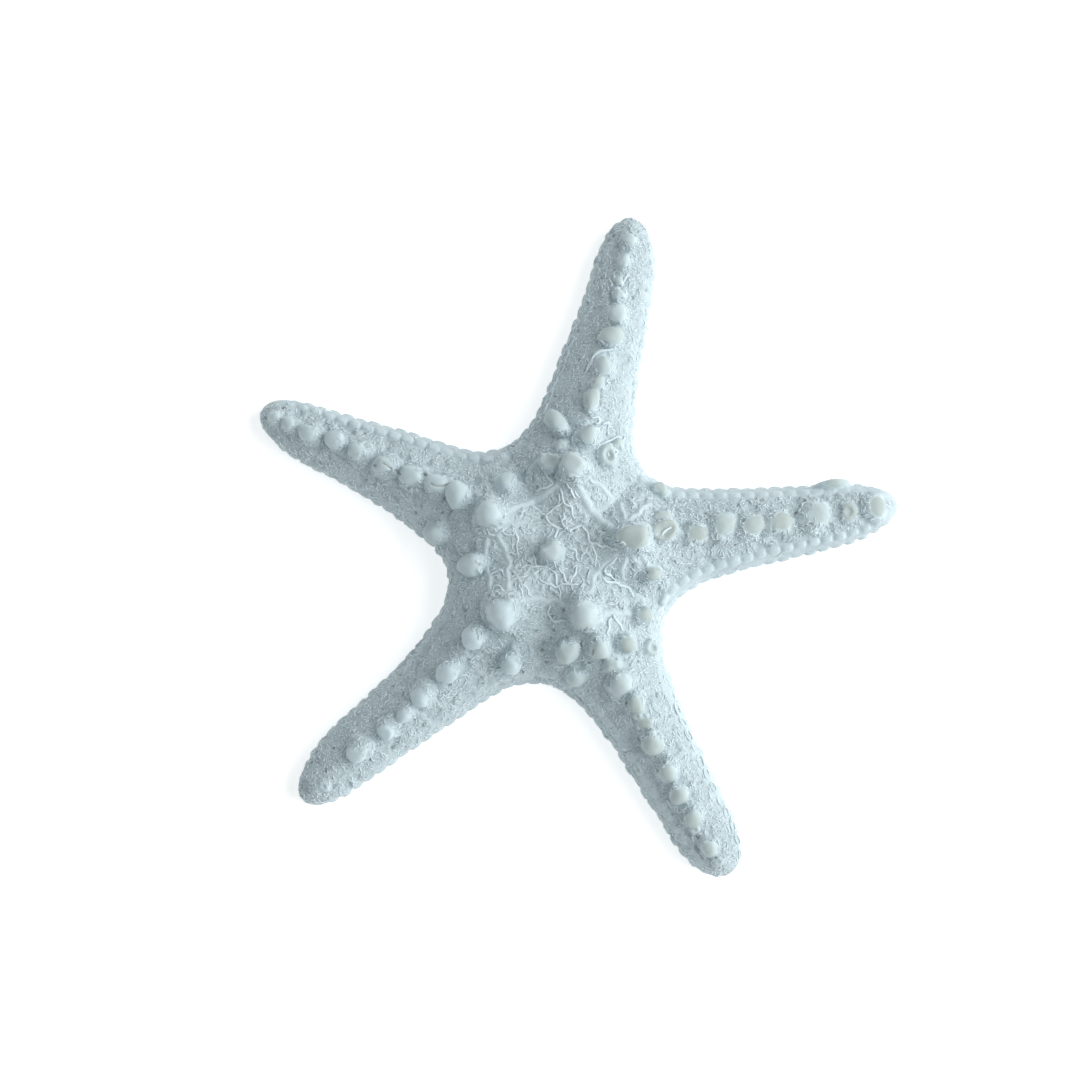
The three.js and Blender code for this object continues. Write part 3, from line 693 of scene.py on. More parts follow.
@dataclass
class KnobCarver:
    """Makes the knobs as small turned shapes with uneven sides."""

    plan: StarPlan
    segments: int = 28
    sink: float = 1.6
    seed: int = 7
    facets: int = 4
    facet_depth: tuple[float, float] = (0.88, 1.02)
    facet_press: float = 0.38
    cover_slant: float = 0.33

    profiles: dict[KnobForm, tuple[tuple[float, float], ...]] = field(default_factory=lambda: {
        KnobForm.DOME: ((1.5, FOOT), (1.42, -0.1), (1.19, 0.13), (1.03, 0.38), (0.93, 0.6), (0.8, 0.77),
                        (0.62, 0.9), (0.4, 0.97), (0.18, 1.0), (0, 1.0)),
        KnobForm.EGG: ((1.05, FOOT), (0.98, -0.1), (0.98, 0.15), (1.05, 0.4), (1.04, 0.6), (0.92, 0.78),
                       (0.72, 0.9), (0.48, 0.97), (0.22, 1.0), (0, 1.01)),
        KnobForm.FLAT: ((1.5, FOOT), (1.4, -0.1), (1.16, 0.17), (1.02, 0.47), (0.96, 0.72), (0.86, 0.88),
                        (0.7, 0.96), (0.45, 0.98), (0.2, 0.97), (0, 0.97)),
        KnobForm.BEAK: ((1.5, FOOT), (1.36, -0.1), (1.14, 0.17), (0.99, 0.42), (0.84, 0.62), (0.66, 0.78),
                        (0.46, 0.9), (0.28, 0.97), (0.12, 1.0), (0, 1.01)),
        KnobForm.BROKEN: ((1.25, FOOT), (1.12, -0.1), (1.0, 0.2), (0.97, 0.5), (0.94, 0.74), (0.84, 0.92),
                          (0.68, 0.92), (0.5, 0.78), (0.25, 0.7), (0, 0.68)),
        KnobForm.RING: ((1.3, FOOT), (1.18, -0.1), (1.04, 0.2), (0.96, 0.55), (0.82, 0.85), (0.64, 1.0),
                        (0.48, 0.92), (0.32, 0.66), (0.15, 0.52), (0, 0.5)),
        KnobForm.SLIT: ((1.3, FOOT), (1.2, -0.1), (1.06, 0.15), (1.0, 0.4), (0.93, 0.6), (0.8, 0.79),
                        (0.64, 0.93), (0.42, 0.99), (0.18, 1.0), (0, 1.0)),
        KnobForm.STUB: ((1.35, FOOT), (1.2, -0.1), (1.05, 0.2), (0.9, 0.5), (0.75, 0.75), (0.6, 0.86),
                        (0.42, 0.92), (0.25, 1.0), (0.1, 0.95), (0, 0.95)),
    })

    def axes(self, knob: Knob, heading: float, place: np.ndarray) -> np.ndarray:
        """The long, cross and up directions of a knob at a place, as rows."""
        up = self.plan.facing(place)
        flat = unit(heading + knob.turn)
        tipped = up + np.array([*flat, 0.0]) * math.tan(math.radians(knob.lean))
        up = tipped / np.linalg.norm(tipped)
        long_way = np.array([*flat, 0.0])
        long_way -= up * (long_way @ up)
        long_way /= np.linalg.norm(long_way)
        return np.array([long_way, np.cross(up, long_way), up])

    def chip(self, places: np.ndarray, knob: Knob, chance: np.random.Generator) -> np.ndarray:
        """Presses a few blunt facets into a knob's sides and top."""
        longer = math.sqrt(knob.stretch)
        scale = np.array([knob.radius * longer, knob.radius / longer, knob.rise])
        shares = places / scale
        for _ in range(self.facets):
            around = chance.uniform(0, TURN)
            rise = chance.uniform(0.1, 1.2)
            level = math.cos(rise)
            facing = np.array([math.cos(around) * level, math.sin(around) * level, math.sin(rise)])
            past = np.maximum(shares @ facing - chance.uniform(*self.facet_depth), 0)
            past[places[:, 2] <= 0] = 0
            shares = shares - self.facet_press * past[:, None] * facing
        return shares * scale

    def shape(self, knob: Knob, number: int) -> tuple[np.ndarray, list[float], list[tuple[int, ...]]]:
        """One knob's places in its own axes, how clear of grains each is, and its faces."""
        chance = np.random.default_rng(self.seed + number)
        around = np.arange(self.segments) * TURN / self.segments
        phase = chance.uniform(0, TURN, 6)
        strength = chance.uniform(0.6, 1.4, 6)
        wobble = 0.06 * strength[0] * np.sin(2 * around + phase[0])
        wobble += 0.045 * strength[1] * np.sin(3 * around + phase[1])
        wobble += 0.02 * strength[2] * np.sin(5 * around + phase[2])
        ragged = 0.1 * strength[3] * np.sin(3 * around + phase[3])
        ragged += 0.07 * strength[4] * np.sin(7 * around + phase[4])
        rows = []
        lifts = []
        outward = np.cos(around + math.radians(knob.turn))
        for radius_share, height_share in self.profiles[knob.form]:
            lifts += (max(0.0, height_share) + self.cover_slant * min(1.0, radius_share) * outward).tolist()
            height = -self.sink if height_share == FOOT else knob.rise * height_share
            reach = knob.radius * radius_share * (1 + wobble)
            up = np.full(self.segments, height)
            if knob.form in (KnobForm.BROKEN, KnobForm.STUB) and height_share > 0.5:
                up = up + knob.rise * ragged * min(1.0, radius_share * 1.4)
            slide = 0.0
            if knob.form is KnobForm.BEAK and height_share > 0:
                slide = knob.radius * 0.55 * height_share**1.5
            rows.append(np.column_stack([
                reach * np.cos(around) * math.sqrt(knob.stretch) + slide,
                reach * np.sin(around) / math.sqrt(knob.stretch),
                up,
            ]))
        faces = tube_faces(len(rows), self.segments)
        return self.chip(np.concatenate(rows), knob, chance), lifts, faces

    def placed(self) -> list[tuple[Knob, np.ndarray, np.ndarray, float]]:
        """Every knob with its foot, its three directions as rows, and its ivory tint."""
        found = []
        for arm in ARMS:
            for knob in arm.knobs:
                flat = to_frame(arm, knob.along, knob.aside)
                foot = np.array([*flat, self.plan.height_at(flat)])
                found.append((knob, foot, self.axes(knob, arm.heading, flat), arm.warmth))
        flat = DISC_CENTRE + np.array([CENTRE_KNOB.along, CENTRE_KNOB.aside])
        foot = np.array([*flat, self.plan.height_at(flat)])
        found.append((CENTRE_KNOB, foot, np.eye(3), 0.5))
        return found

    def build(self) -> Object:
        """All knobs in one mesh, with each place's share of its knob's height and its tint."""
        places: list[np.ndarray] = []
        faces: list[tuple[int, ...]] = []
        lifts: list[float] = []
        tints: list[float] = []
        start = 0
        chance = np.random.default_rng(self.seed)
        for number, (knob, foot, axes, warmth) in enumerate(self.placed()):
            local, lift, knob_faces = self.shape(knob, number)
            places.append(foot + local @ axes)
            faces += [tuple(start + corner for corner in face) for face in knob_faces]
            lifts += lift
            tints += [float(np.clip(warmth * chance.uniform(0.6, 1.3), 0, 1))] * len(local)
            start += len(local)
        knobs = mesh_object("knobs", np.concatenate(places), faces)
        write_values(knobs.data, "lift", np.array(lifts))
        write_values(knobs.data, "tint", np.array(tints))
        return knobs


class Tree:
    """A short way to write node trees."""

    def __init__(self, nodes_tree: NodeTree) -> None:
        """Wraps a node tree."""
        self.tree = nodes_tree

    def add(self, kind: str, settings: dict[str, Any] | None = None, **inputs: Any) -> Node:
        """Adds a node.

        Args:
            kind: Blender's node type.
            settings: Properties of the node itself.
            inputs: Values or sockets for inputs, by name with _ for a space, or i0, i1 by number.

        Returns:
            The node.
        """
        node = self.tree.nodes.new(kind)
        for key, value in (settings or {}).items():
            setattr(node, key, value)
        for key, value in inputs.items():
            numbered = key[0] == "i" and key[1:].isdigit()
            socket = node.inputs[int(key[1:]) if numbered else key.replace("_", " ")]
            if isinstance(value, NodeSocket):
                self.link(value, socket)
            else:
                socket.default_value = value
        return node

    def link(self, value: NodeSocket, socket: NodeSocket) -> None:
        """Joins a result to an input."""
        self.tree.links.new(value, socket)

    def math(self, operation: str, *values: Any) -> NodeSocket:
        """The result of a Math node."""
        inputs = {f"i{i}": value for i, value in enumerate(values)}
        return self.add("ShaderNodeMath", {"operation": operation}, **inputs).outputs[0]

    def product(self, *values: Any) -> NodeSocket:
        """All values multiplied, from the first on."""
        result = values[0]
        for value in values[1:]:
            result = self.math("MULTIPLY", result, value)
        return result

    def inverse(self, value: Any) -> NodeSocket:
        """1 less a value."""
        return self.math("SUBTRACT", 1.0, value)

    def capped(self, first: Any, second: Any) -> NodeSocket:
        """The sum of two values, 1 at most."""
        return self.math("MINIMUM", self.math("ADD", first, second), 1.0)

    def vector(self, operation: str, *values: Any, **named: Any) -> NodeSocket:
        """The result of a Vector Math node."""
        inputs = {f"i{i}": value for i, value in enumerate(values)}
        return self.add("ShaderNodeVectorMath", {"operation": operation}, **inputs, **named).outputs[0]

    def ramp(
        self, value: Any, low: float, high: float, start: float = 0.0, end: float = 1.0
    ) -> NodeSocket:
        """A soft step of a value from start at low to end at high."""
        settings = {"interpolation_type": "SMOOTHSTEP"}
        inputs = {"i0": value, "i1": low, "i2": high, "i3": start, "i4": end}
        return self.add("ShaderNodeMapRange", settings, **inputs).outputs[0]

    def attribute(self, name: str) -> NodeSocket:
        """A stored number: a named attribute in a geometry tree, an attribute node in a material."""
        if self.tree.type == "GEOMETRY":
            node = self.add("GeometryNodeInputNamedAttribute", {"data_type": "FLOAT"})
            node.inputs[0].default_value = name
            return node.outputs[0]
        return self.add("ShaderNodeAttribute", {"attribute_name": name}).outputs["Fac"]

    def mix(self, share: Any, first: Any, second: Any) -> NodeSocket:
        """A colour between two, by share."""
        node = self.add("ShaderNodeMix", {"data_type": "RGBA"}, i0=share, i6=first, i7=second)
        return node.outputs[2]

    def noise(self, where: Any, scale: Any, detail: float = 2.0) -> NodeSocket:
        """Noise about 0.5 at a place."""
        return self.add("ShaderNodeTexNoise", Vector=where, Scale=scale, Detail=detail).outputs[0]

    def warped(self, where: Any, scale: float, amount: float) -> NodeSocket:
        """A place pushed about by noise, by amount in metres."""
        noise = self.add("ShaderNodeTexNoise", Vector=where, Scale=scale).outputs["Color"]
        push = self.vector("SUBTRACT", noise, (0.5, 0.5, 0.5))
        return self.vector("ADD", where, self.vector("SCALE", push, Scale=amount))

    def cracks(self, where: Any, scale: Any) -> NodeSocket:
        """Distance to the nearest cell border, in cell widths."""
        settings = {"feature": "DISTANCE_TO_EDGE"}
        return self.add("ShaderNodeTexVoronoi", settings, Vector=where, Scale=scale).outputs["Distance"]

    def cells(self, where: Any, scale: Any) -> Node:
        """Cells round scattered points: distance to the point, and a colour by chance."""
        return self.add("ShaderNodeTexVoronoi", {"feature": "F1"}, Vector=where, Scale=scale)


class GeometryTree(Tree):
    """A geometry node group with named inputs, put on an object as a modifier."""

    def __init__(self, name: str) -> None:
        """Makes an empty group with a geometry input and output."""
        super().__init__(bpy.data.node_groups.new(name, "GeometryNodeTree"))
        self.identifiers: dict[str, str] = {}
        self.defaults: dict[str, Any] = {}
        self.tree.interface.new_socket(name="Geometry", in_out="INPUT", socket_type="NodeSocketGeometry")
        self.tree.interface.new_socket(name="Geometry", in_out="OUTPUT", socket_type="NodeSocketGeometry")

    def give(self, **values: Any) -> Node:
        """Adds named inputs with their values and returns the group's input node."""
        kinds = {float: "NodeSocketFloat", int: "NodeSocketInt"}
        for key, value in values.items():
            kind = kinds.get(type(value), "NodeSocketObject")
            label = key.replace("_", " ")
            socket = self.tree.interface.new_socket(name=label, in_out="INPUT", socket_type=kind)
            self.identifiers[label] = socket.identifier
            self.defaults[label] = value
        return self.tree.nodes.new("NodeGroupInput")

    @property
    def place(self) -> NodeSocket:
        """Each point's place."""
        return self.add("GeometryNodeInputPosition").outputs[0]

    @property
    def normal(self) -> NodeSocket:
        """Each point's normal."""
        return self.add("GeometryNodeInputNormal").outputs[0]

    @property
    def girth(self) -> NodeSocket:
        """Each curve point's radius, which is a size factor here."""
        return self.add("GeometryNodeInputRadius").outputs[0]

    def mesh_of(self, thing: NodeSocket) -> NodeSocket:
        """The mesh of a given object."""
        return self.add("GeometryNodeObjectInfo", Object=thing).outputs["Geometry"]

    def nearest(self, target: NodeSocket) -> Node:
        """The nearest place on a mesh, and the distance to it."""
        settings = {"target_element": "FACES"}
        return self.add("GeometryNodeProximity", settings, i0=target, Source_Position=self.place)

    def sampled(self, target: NodeSocket, value: NodeSocket, kind: str = "FLOAT") -> NodeSocket:
        """A value of the nearest place of another mesh."""
        inputs = {"Mesh": target, "Value": value, "Sample_Position": self.place}
        node = self.add("GeometryNodeSampleNearestSurface", {"data_type": kind}, **inputs)
        return node.outputs["Value"]

    def random(self, low: Any, high: Any, seed: Any) -> NodeSocket:
        """A random value for each point, between two numbers or between two triples."""
        if isinstance(low, tuple):
            settings = {"data_type": "FLOAT_VECTOR"}
            return self.add("FunctionNodeRandomValue", settings, i0=low, i1=high, Seed=seed).outputs[0]
        settings = {"data_type": "FLOAT"}
        return self.add("FunctionNodeRandomValue", settings, i2=low, i3=high, Seed=seed).outputs[1]

    def stations(self, given: Node) -> Node:
        """Points at the given Pitch along the given curve."""
        out = given.outputs
        settings = {"mode": "LENGTH"}
        return self.add("GeometryNodeCurveToPoints", settings, Curve=out["Geometry"], Length=out["Pitch"])

    def aimed(self, axis: str, pivot: str, **inputs: Any) -> NodeSocket:
        """A rotation that turns an axis to a Vector, about a pivot axis."""
        settings = {"axis": axis, "pivot_axis": pivot}
        return self.add("FunctionNodeAlignRotationToVector", settings, **inputs).outputs[0]

    def spun(self, rotation: NodeSocket, angle: NodeSocket) -> NodeSocket:
        """A rotation turned on about its own Z."""
        about = self.add("FunctionNodeAxisAngleToRotation", Angle=angle).outputs[0]
        settings = {"rotation_space": "LOCAL"}
        return self.add("FunctionNodeRotateRotation", settings, i0=rotation, i1=about).outputs[0]

    def placed(self, points: NodeSocket, **inputs: Any) -> NodeSocket:
        """An Instance on every point, with its Rotation and Scale."""
        return self.add("GeometryNodeInstanceOnPoints", Points=points, **inputs).outputs[0]

    def finish(self, geometry: NodeSocket, material: Material | None) -> None:
        """Ends the tree with realized instances and a material."""
        solid = self.add("GeometryNodeRealizeInstances", i0=geometry).outputs[0]
        coated = self.add("GeometryNodeSetMaterial", Geometry=solid, Material=material)
        self.add("NodeGroupOutput", i0=coated.outputs[0])

    def put_on(self, thing: Object) -> Object:
        """Runs the tree on an object and returns the plain result."""
        modifier = thing.modifiers.new(self.tree.name, "NODES")
        modifier.node_group = self.tree
        for label, identifier in self.identifiers.items():
            modifier[identifier] = self.defaults[label]
        return freeze(thing)


def joined(name: str, parts: list[Object], keep: bool = False) -> Object:
    """Puts several mesh objects' faces into one new object; the parts go, unless they are kept."""
    places: list[np.ndarray] = []
    faces: list[list[int]] = []
    start = 0
    for part in parts:
        places.append(places_of(part.data))
        faces += [[start + corner for corner in face.vertices] for face in part.data.polygons]
        start += len(part.data.vertices)
        if not keep:
            bpy.data.objects.remove(part)
    return mesh_object(name, np.concatenate(places), faces)


def curve_object(name: str, lines: list[np.ndarray]) -> Object:
    """A curve of straight runs; each line has rows of x, y, z in millimetres and a radius factor."""
    data = bpy.data.curves.new(name, "CURVE")
    data.dimensions = "3D"
    for line in lines:
        spline = data.splines.new("POLY")
        spline.points.add(len(line) - 1)
        rows = np.column_stack([line[:, :3] * MM, np.ones(len(line))])
        spline.points.foreach_set("co", rows.ravel())
        spline.points.foreach_set("radius", line[:, 3])
    return linked(name, data)


def pillow(name: str, half: tuple[float, float, float], power: float, tilt: float) -> Object:
    """A rounded block of a few dozen faces, its half sizes in millimetres, tipped about X in degrees."""
    sides = 12
    around = np.arange(sides) * TURN / sides
    rows = []
    for rise in np.radians([-80, -50, -20, 20, 50, 80]):
        flat = np.sign(np.cos(around)) * np.abs(np.cos(around)) ** power
        deep = np.sign(np.sin(around)) * np.abs(np.sin(around)) ** power
        girth = abs(math.cos(rise)) ** power
        level = math.copysign(abs(math.sin(rise)) ** power, rise)
        up = np.full(sides, half[2] * level)
        rows.append(np.column_stack([half[0] * girth * flat, half[1] * girth * deep, up]))
    places = np.concatenate(rows)
    angle = math.radians(tilt)
    y, z = places[:, 1].copy(), places[:, 2].copy()
    places[:, 1] = y * math.cos(angle) - z * math.sin(angle)
    places[:, 2] = y * math.sin(angle) + z * math.cos(angle)
    return mesh_object(name, places, tube_faces(len(rows), sides))


# How deep the upper plates are sunk, in mm, on the right side and on the left side of each arm looking out.
PLATE_SINK = ((0.25, 0.6), (0.9, 1.3), (0.3, 1.3), (1.3, 1.2), (0.55, 0.95))
# How free of grains the plates are, in the same order.
PLATE_BARE = ((1.0, 1.0), (0.5, 0.2), (0.85, 0.2), (0.2, 0.6), (0.45, 0.6))
# How far in from the edge the skin is free of grains, in mm, in the same order.
BARE_EDGE = ((2.2, 1.7), (0.4, 0.1), (1.3, 0.1), (0.1, 0.5), (0.2, 0.8))
# How far the lower plates are tucked in from the edge, in mm, in the same order.
PLATE_TUCK = ((-0.05, 0.1), (0.02, 0.06), (0.02, 0.1), (0.1, 0.02), (0.06, 0.1))
# Where upper plates are hollow inside raised rims: arm number, side, and the stretch along the arm in mm.
RIMMED = ((1, 1, 22.0, 38.0), (4, 1, 34.0, 62.0))


@dataclass(frozen=True)
class PlateRow:
    """One row of plates: half sizes, distance in from the edge, height and tilt, in mm and degrees."""

    name: str
    half: tuple[float, float, float]
    inward: float
    on_slope: bool
    tilt: float
    shift: float


@dataclass
class EdgePlates:
    """The two rows of bead-like plates that run round the whole edge."""

    plan: StarPlan
    pitch: float = 2.45
    stop_short: float = 1.6
    samples: int = 120
    roundness: float = 0.5
    seed: int = 3
    upper: PlateRow = PlateRow(
        "upper_plates", half=(1.08, 0.72, 0.6), inward=1.75, on_slope=True, tilt=-38.0, shift=0.0
    )
    lower: PlateRow = PlateRow(
        "lower_plates", half=(1.14, 1.0, 1.55), inward=0.9, on_slope=False, tilt=-8.0, shift=1.2
    )

    def edge_line(self, index: int, row: PlateRow) -> np.ndarray:
        """The line between two tips past a notch, with the open gap on its left.

        Args:
            index: The notch's number.
            row: The row of plates that follows the line.

        Returns:
            Rows of x, y, z and a size factor.
        """
        following = self.plan.flanks[((index + 1) % len(ARMS), -1)]
        own = self.plan.flanks[(index, 1)]
        halves = []
        for flank in (following, own):
            arm = flank.arm
            sink = PLATE_SINK[flank.index][(flank.side + 1) // 2]
            tuck = 0.0 if row.on_slope else PLATE_TUCK[flank.index][(flank.side + 1) // 2]
            along = np.linspace(flank.notch_along, arm.length - self.stop_short, self.samples)
            width = flank.half_width(along)
            step = np.gradient(width, along)
            slant = np.sqrt(1 + step**2)
            size = np.clip(width / 6.0, 0.7, 1.08)
            inset = row.inward * size + tuck
            aside = flank.side * (width - inset / slant) + axis_offset(arm, along)
            slid = along + inset * np.clip(step, -1.5, 1.5) / slant
            flat = to_frame(arm, slid, aside)
            margin = self.plan.relief.margin(arm, along)
            level = self.plan.read(flat).height - sink if row.on_slope else margin * 0.42
            level = margin / 2 + (level - margin / 2) * tip_squash(arm, along)
            halves.append(np.column_stack([flat, level, size]))
        return np.concatenate([halves[0][::-1], halves[1][1:]])

    def lay(self, row: PlateRow) -> Object:
        """One row of plates, set at even steps along all five edge lines."""
        lines = [self.edge_line(i, row)[int(row.shift * 2):] for i in range(len(ARMS))]
        plate = pillow(f"{row.name}_plate", row.half, self.roundness, row.tilt)
        path = curve_object(row.name, lines)
        tree = GeometryTree(row.name)
        given = tree.give(Plate=plate, Pitch=self.pitch * MM, Seed=self.seed)
        spots = tree.stations(given).outputs
        turned = tree.aimed("X", "Z", Vector=spots["Tangent"])
        varied = tree.random((0.93, 0.86, 0.88), (1.03, 1.12, 1.14), given.outputs["Seed"])
        size = tree.vector("SCALE", varied, Scale=tree.girth)
        shape = tree.mesh_of(given.outputs["Plate"])
        placed = tree.placed(spots["Points"], Instance=shape, Rotation=turned, Scale=size)
        tree.finish(placed, None)
        made = tree.put_on(path)
        bpy.data.objects.remove(plate)
        return made

    def build(self) -> Object:
        """Both rows in one mesh."""
        return joined("edge_plates", [self.lay(self.upper), self.lay(self.lower)])


@dataclass(frozen=True)
class Route:
    """A raised line on the disc: its half width in mm, and the photo's pixels that it passes."""

    half: float
    pixels: tuple[tuple[float, float], ...]


# The smooth straps between the large knobs come first, then struts, then the wavy net inside.
ROUTES = (
    Route(0.85, ((578, 486), (583, 496), (588, 507), (597, 518), (612, 530), (622, 536))),
    Route(0.5, ((622, 548), (612, 557), (601, 566), (594, 574), (592, 584), (589, 594), (586, 604))),
    Route(0.42, (
        (578, 606), (568, 606), (560, 602), (553, 599), (546, 601), (537, 599), (529, 598), (519, 603),
    )),
    Route(0.5, ((509, 603), (508, 590), (507, 575), (509, 561), (505, 549), (499, 538), (494, 526))),
    Route(0.4, ((490, 603), (491, 590), (489, 577), (487, 562), (485, 545), (489, 527))),
    Route(0.55, ((505, 510), (516, 506), (529, 502), (541, 496), (551, 489), (561, 480))),
    Route(0.5, ((597, 512), (605, 506), (612, 500), (620, 495))),
    Route(0.45, ((626, 524), (633, 516), (641, 509), (650, 503))),
    Route(0.4, ((620, 502), (622, 511), (625, 522))),
    Route(0.4, ((586, 478), (597, 484), (607, 492), (611, 499))),
    Route(0.45, ((626, 551), (624, 562), (621, 572), (623, 580))),
    Route(0.45, ((630, 552), (634, 558), (640, 564))),
    Route(0.35, ((616, 556), (604, 569), (609, 576), (615, 580))),
    Route(0.35, ((600, 576), (609, 583), (619, 583), (628, 588), (633, 597))),
    Route(0.6, ((590, 614), (601, 612), (612, 613), (622, 612), (632, 615))),
    Route(0.35, ((612, 613), (617, 621), (621, 630))),
    Route(0.35, ((606, 636), (607, 624), (611, 617))),
    Route(0.4, ((545, 455), (537, 462), (529, 468))),
    Route(0.35, ((548, 453), (545, 464), (546, 475), (553, 483))),
    Route(0.3, ((553, 483), (545, 488), (535, 491))),
    Route(0.45, ((641, 553), (644, 562), (652, 566))),
    Route(0.45, ((646, 528), (656, 524), (668, 527), (681, 532), (686, 540))),
    Route(0.3, ((657, 540), (662, 532), (670, 528))),
    Route(0.28, ((560, 488), (562, 496), (565, 503), (570, 506), (572, 513), (574, 519))),
    Route(0.28, ((569, 486), (573, 491), (574, 498))),
    Route(0.32, ((564, 512), (562, 520), (563, 527), (569, 530), (576, 526), (581, 525))),
    Route(0.32, ((581, 525), (586, 531), (589, 538), (590, 544), (598, 545), (608, 545), (618, 546))),
    Route(0.3, ((545, 514), (548, 520), (551, 526), (557, 528), (563, 528))),
    Route(0.26, ((545, 514), (552, 510), (558, 505), (563, 501))),
    Route(0.3, ((558, 528), (555, 534), (552, 540))),
    Route(0.26, ((530, 506), (538, 511), (545, 514))),
    Route(0.26, ((514, 529), (517, 539), (517, 552))),
    Route(0.26, ((591, 545), (595, 554), (595, 566))),
    Route(0.26, ((588, 546), (583, 552), (580, 560))),
    Route(0.26, ((566, 545), (573, 547), (575, 554), (578, 562))),
    Route(0.28, ((519, 584), (527, 589), (531, 597))),
    Route(0.28, ((519, 584), (520, 591), (521, 599))),
    Route(0.28, ((538, 578), (546, 584), (556, 586), (567, 584), (578, 584))),
    Route(0.28, ((546, 567), (554, 571), (555, 578), (557, 585))),
    Route(0.28, ((558, 567), (561, 573), (566, 580), (570, 584))),
    Route(0.28, ((576, 566), (573, 575), (570, 584))),
    Route(0.3, ((571, 584), (574, 592), (576, 602))),
    Route(0.26, ((558, 586), (560, 593), (560, 600))),
    Route(0.28, ((550, 603), (548, 611), (548, 618), (557, 621), (570, 620))),
    Route(0.24, ((533, 553), (533, 562), (538, 567))),
    Route(0.24, ((492, 590), (494, 585), (500, 585), (504, 590), (500, 595), (494, 594), (492, 590))),
    Route(0.24, ((490, 575), (494, 570), (501, 570), (505, 576))),
    Route(0.24, ((520, 568), (528, 565), (538, 566), (546, 567))),
)


# Flakes and curls that stand up on the top arm's crest.
FLAKES = (
    Route(0.34, ((586, 371), (589, 365), (593, 359), (597, 353), (604, 349), (612, 348))),
    Route(0.26, ((584, 373), (590, 367), (594, 361))),
    Route(0.3, ((614, 275), (617, 279), (620, 283), (621, 286))),
    Route(0.3, ((628, 273), (625, 278), (621, 284))),
    Route(0.28, ((619, 290), (615, 294), (618, 299), (623, 297), (624, 292), (619, 290))),
    Route(0.24, ((609, 279), (612, 283), (610, 287))),
    Route(0.26, ((590, 418), (595, 415), (600, 418), (599, 423), (594, 423))),
    Route(0.26, ((601, 424), (606, 421), (610, 424), (607, 429))),
    Route(0.24, ((587, 427), (592, 429), (596, 433), (593, 437))),
    Route(0.26, ((604, 450), (609, 446), (616, 448), (618, 454), (613, 458), (606, 457), (604, 450))),
    Route(0.26, ((596, 452), (600, 446), (606, 441), (613, 438), (620, 439))),
    Route(0.26, ((618, 447), (623, 442), (624, 436))),
)
# Small holes and cuts, painted brownish dark inside as their shade: the photo's pixels that each passes.
MARKS = (
    ((634, 235), (634.5, 236)),
    ((633, 395), (633.5, 396)),
    ((656.5, 769), (657, 771)),
    ((587.5, 661.5), (588.5, 662.5)),
    ((584, 630), (583, 633)),
    ((366, 474), (367, 475)),
    ((423, 472), (426, 474)),
    ((645.5, 571), (646.5, 573)),
    ((374, 466), (375.5, 467)),
    ((396, 470), (399, 474), (400, 475)),
    ((430, 484), (436, 487), (443, 487), (449, 484)),
    ((383, 464), (387, 466), (392, 470)),
    ((592, 650), (591, 655)),
    ((700, 720), (700.5, 721)),
)


def stand_marks(plan: StarPlan) -> Object:
    """The marks as upright ribbons that pass through the upper side."""
    low, high = 3.0, 24.0
    places: list[list[float]] = []
    faces: list[tuple[int, ...]] = []
    for pixels in MARKS:
        flat = plan.under_pixels(pixels, View())
        for (x, y), (next_x, next_y) in zip(flat[:-1], flat[1:]):
            start = len(places)
            places += [[x, y, low], [next_x, next_y, low], [next_x, next_y, high], [x, y, high]]
            faces.append((start, start + 1, start + 2, start + 3))
    return mesh_object("marks", np.array(places), faces)


@dataclass
class Sinews:
    """The smooth straps and struts on the disc, swept along their routes."""

    plan: StarPlan
    least_half: float = 0.39
    step: float = 0.35
    waver: float = 0.2
    sunk_wide: float = 0.36
    sunk_thin: float = 0.1
    girth: float = 1.0
    sides: int = 8
    seed: int = 11

    def line(self, route: Route, number: int) -> np.ndarray:
        """A smooth line over the surface along a route, thinning at its ends.

        Args:
            route: The route.
            number: Its number, which seeds how it wavers.

        Returns:
            Rows of x, y, z and radius in millimetres.
        """
        corners = self.plan.under_pixels(route.pixels, View())
        leg = np.concatenate([[0], np.cumsum(np.linalg.norm(np.diff(corners, axis=0), axis=1))])
        run = np.linspace(0, leg[-1], max(6, int(leg[-1] / self.step)))
        flat = np.column_stack([np.interp(run, leg, corners[:, k]) for k in (0, 1)])
        for _ in range(3):
            flat[1:-1] = (flat[:-2] + 2 * flat[1:-1] + flat[2:]) / 4
        chance = np.random.default_rng(self.seed + number)
        phase = chance.uniform(0, TURN, 4)
        for axis in (0, 1):
            flat[:, axis] += self.waver * np.sin(run * 2.1 + phase[axis]) * np.sin(np.pi * run / leg[-1])
        swell = 1 + 0.14 * np.sin(run * 1.7 + phase[2]) + 0.08 * np.sin(run * 4.3 + phase[3])
        ends = 0.6 + 0.4 * np.minimum(1, np.minimum(run, leg[-1] - run) / 1.2)
        radius = self.girth * route.half * swell * ends
        height = self.plan.read(flat).height
        wide = float(smooth(0.3, 0.6, np.array(route.half)))
        sunk = self.sunk_thin + (self.sunk_wide - self.sunk_thin) * wide
        return np.column_stack([flat, height - radius * sunk, radius])

    def build(self) -> Object:
        """The wide routes, swept with a round section."""
        lines = [self.line(route, i) for i, route in enumerate(ROUTES) if route.half >= self.least_half]
        path = curve_object("sinews", lines)
        tree = GeometryTree("sinews")
        given = tree.give(Sides=self.sides, Thickness=MM)
        tree.finish(sweep(tree, given.outputs["Geometry"], given), None)
        return tree.put_on(path)


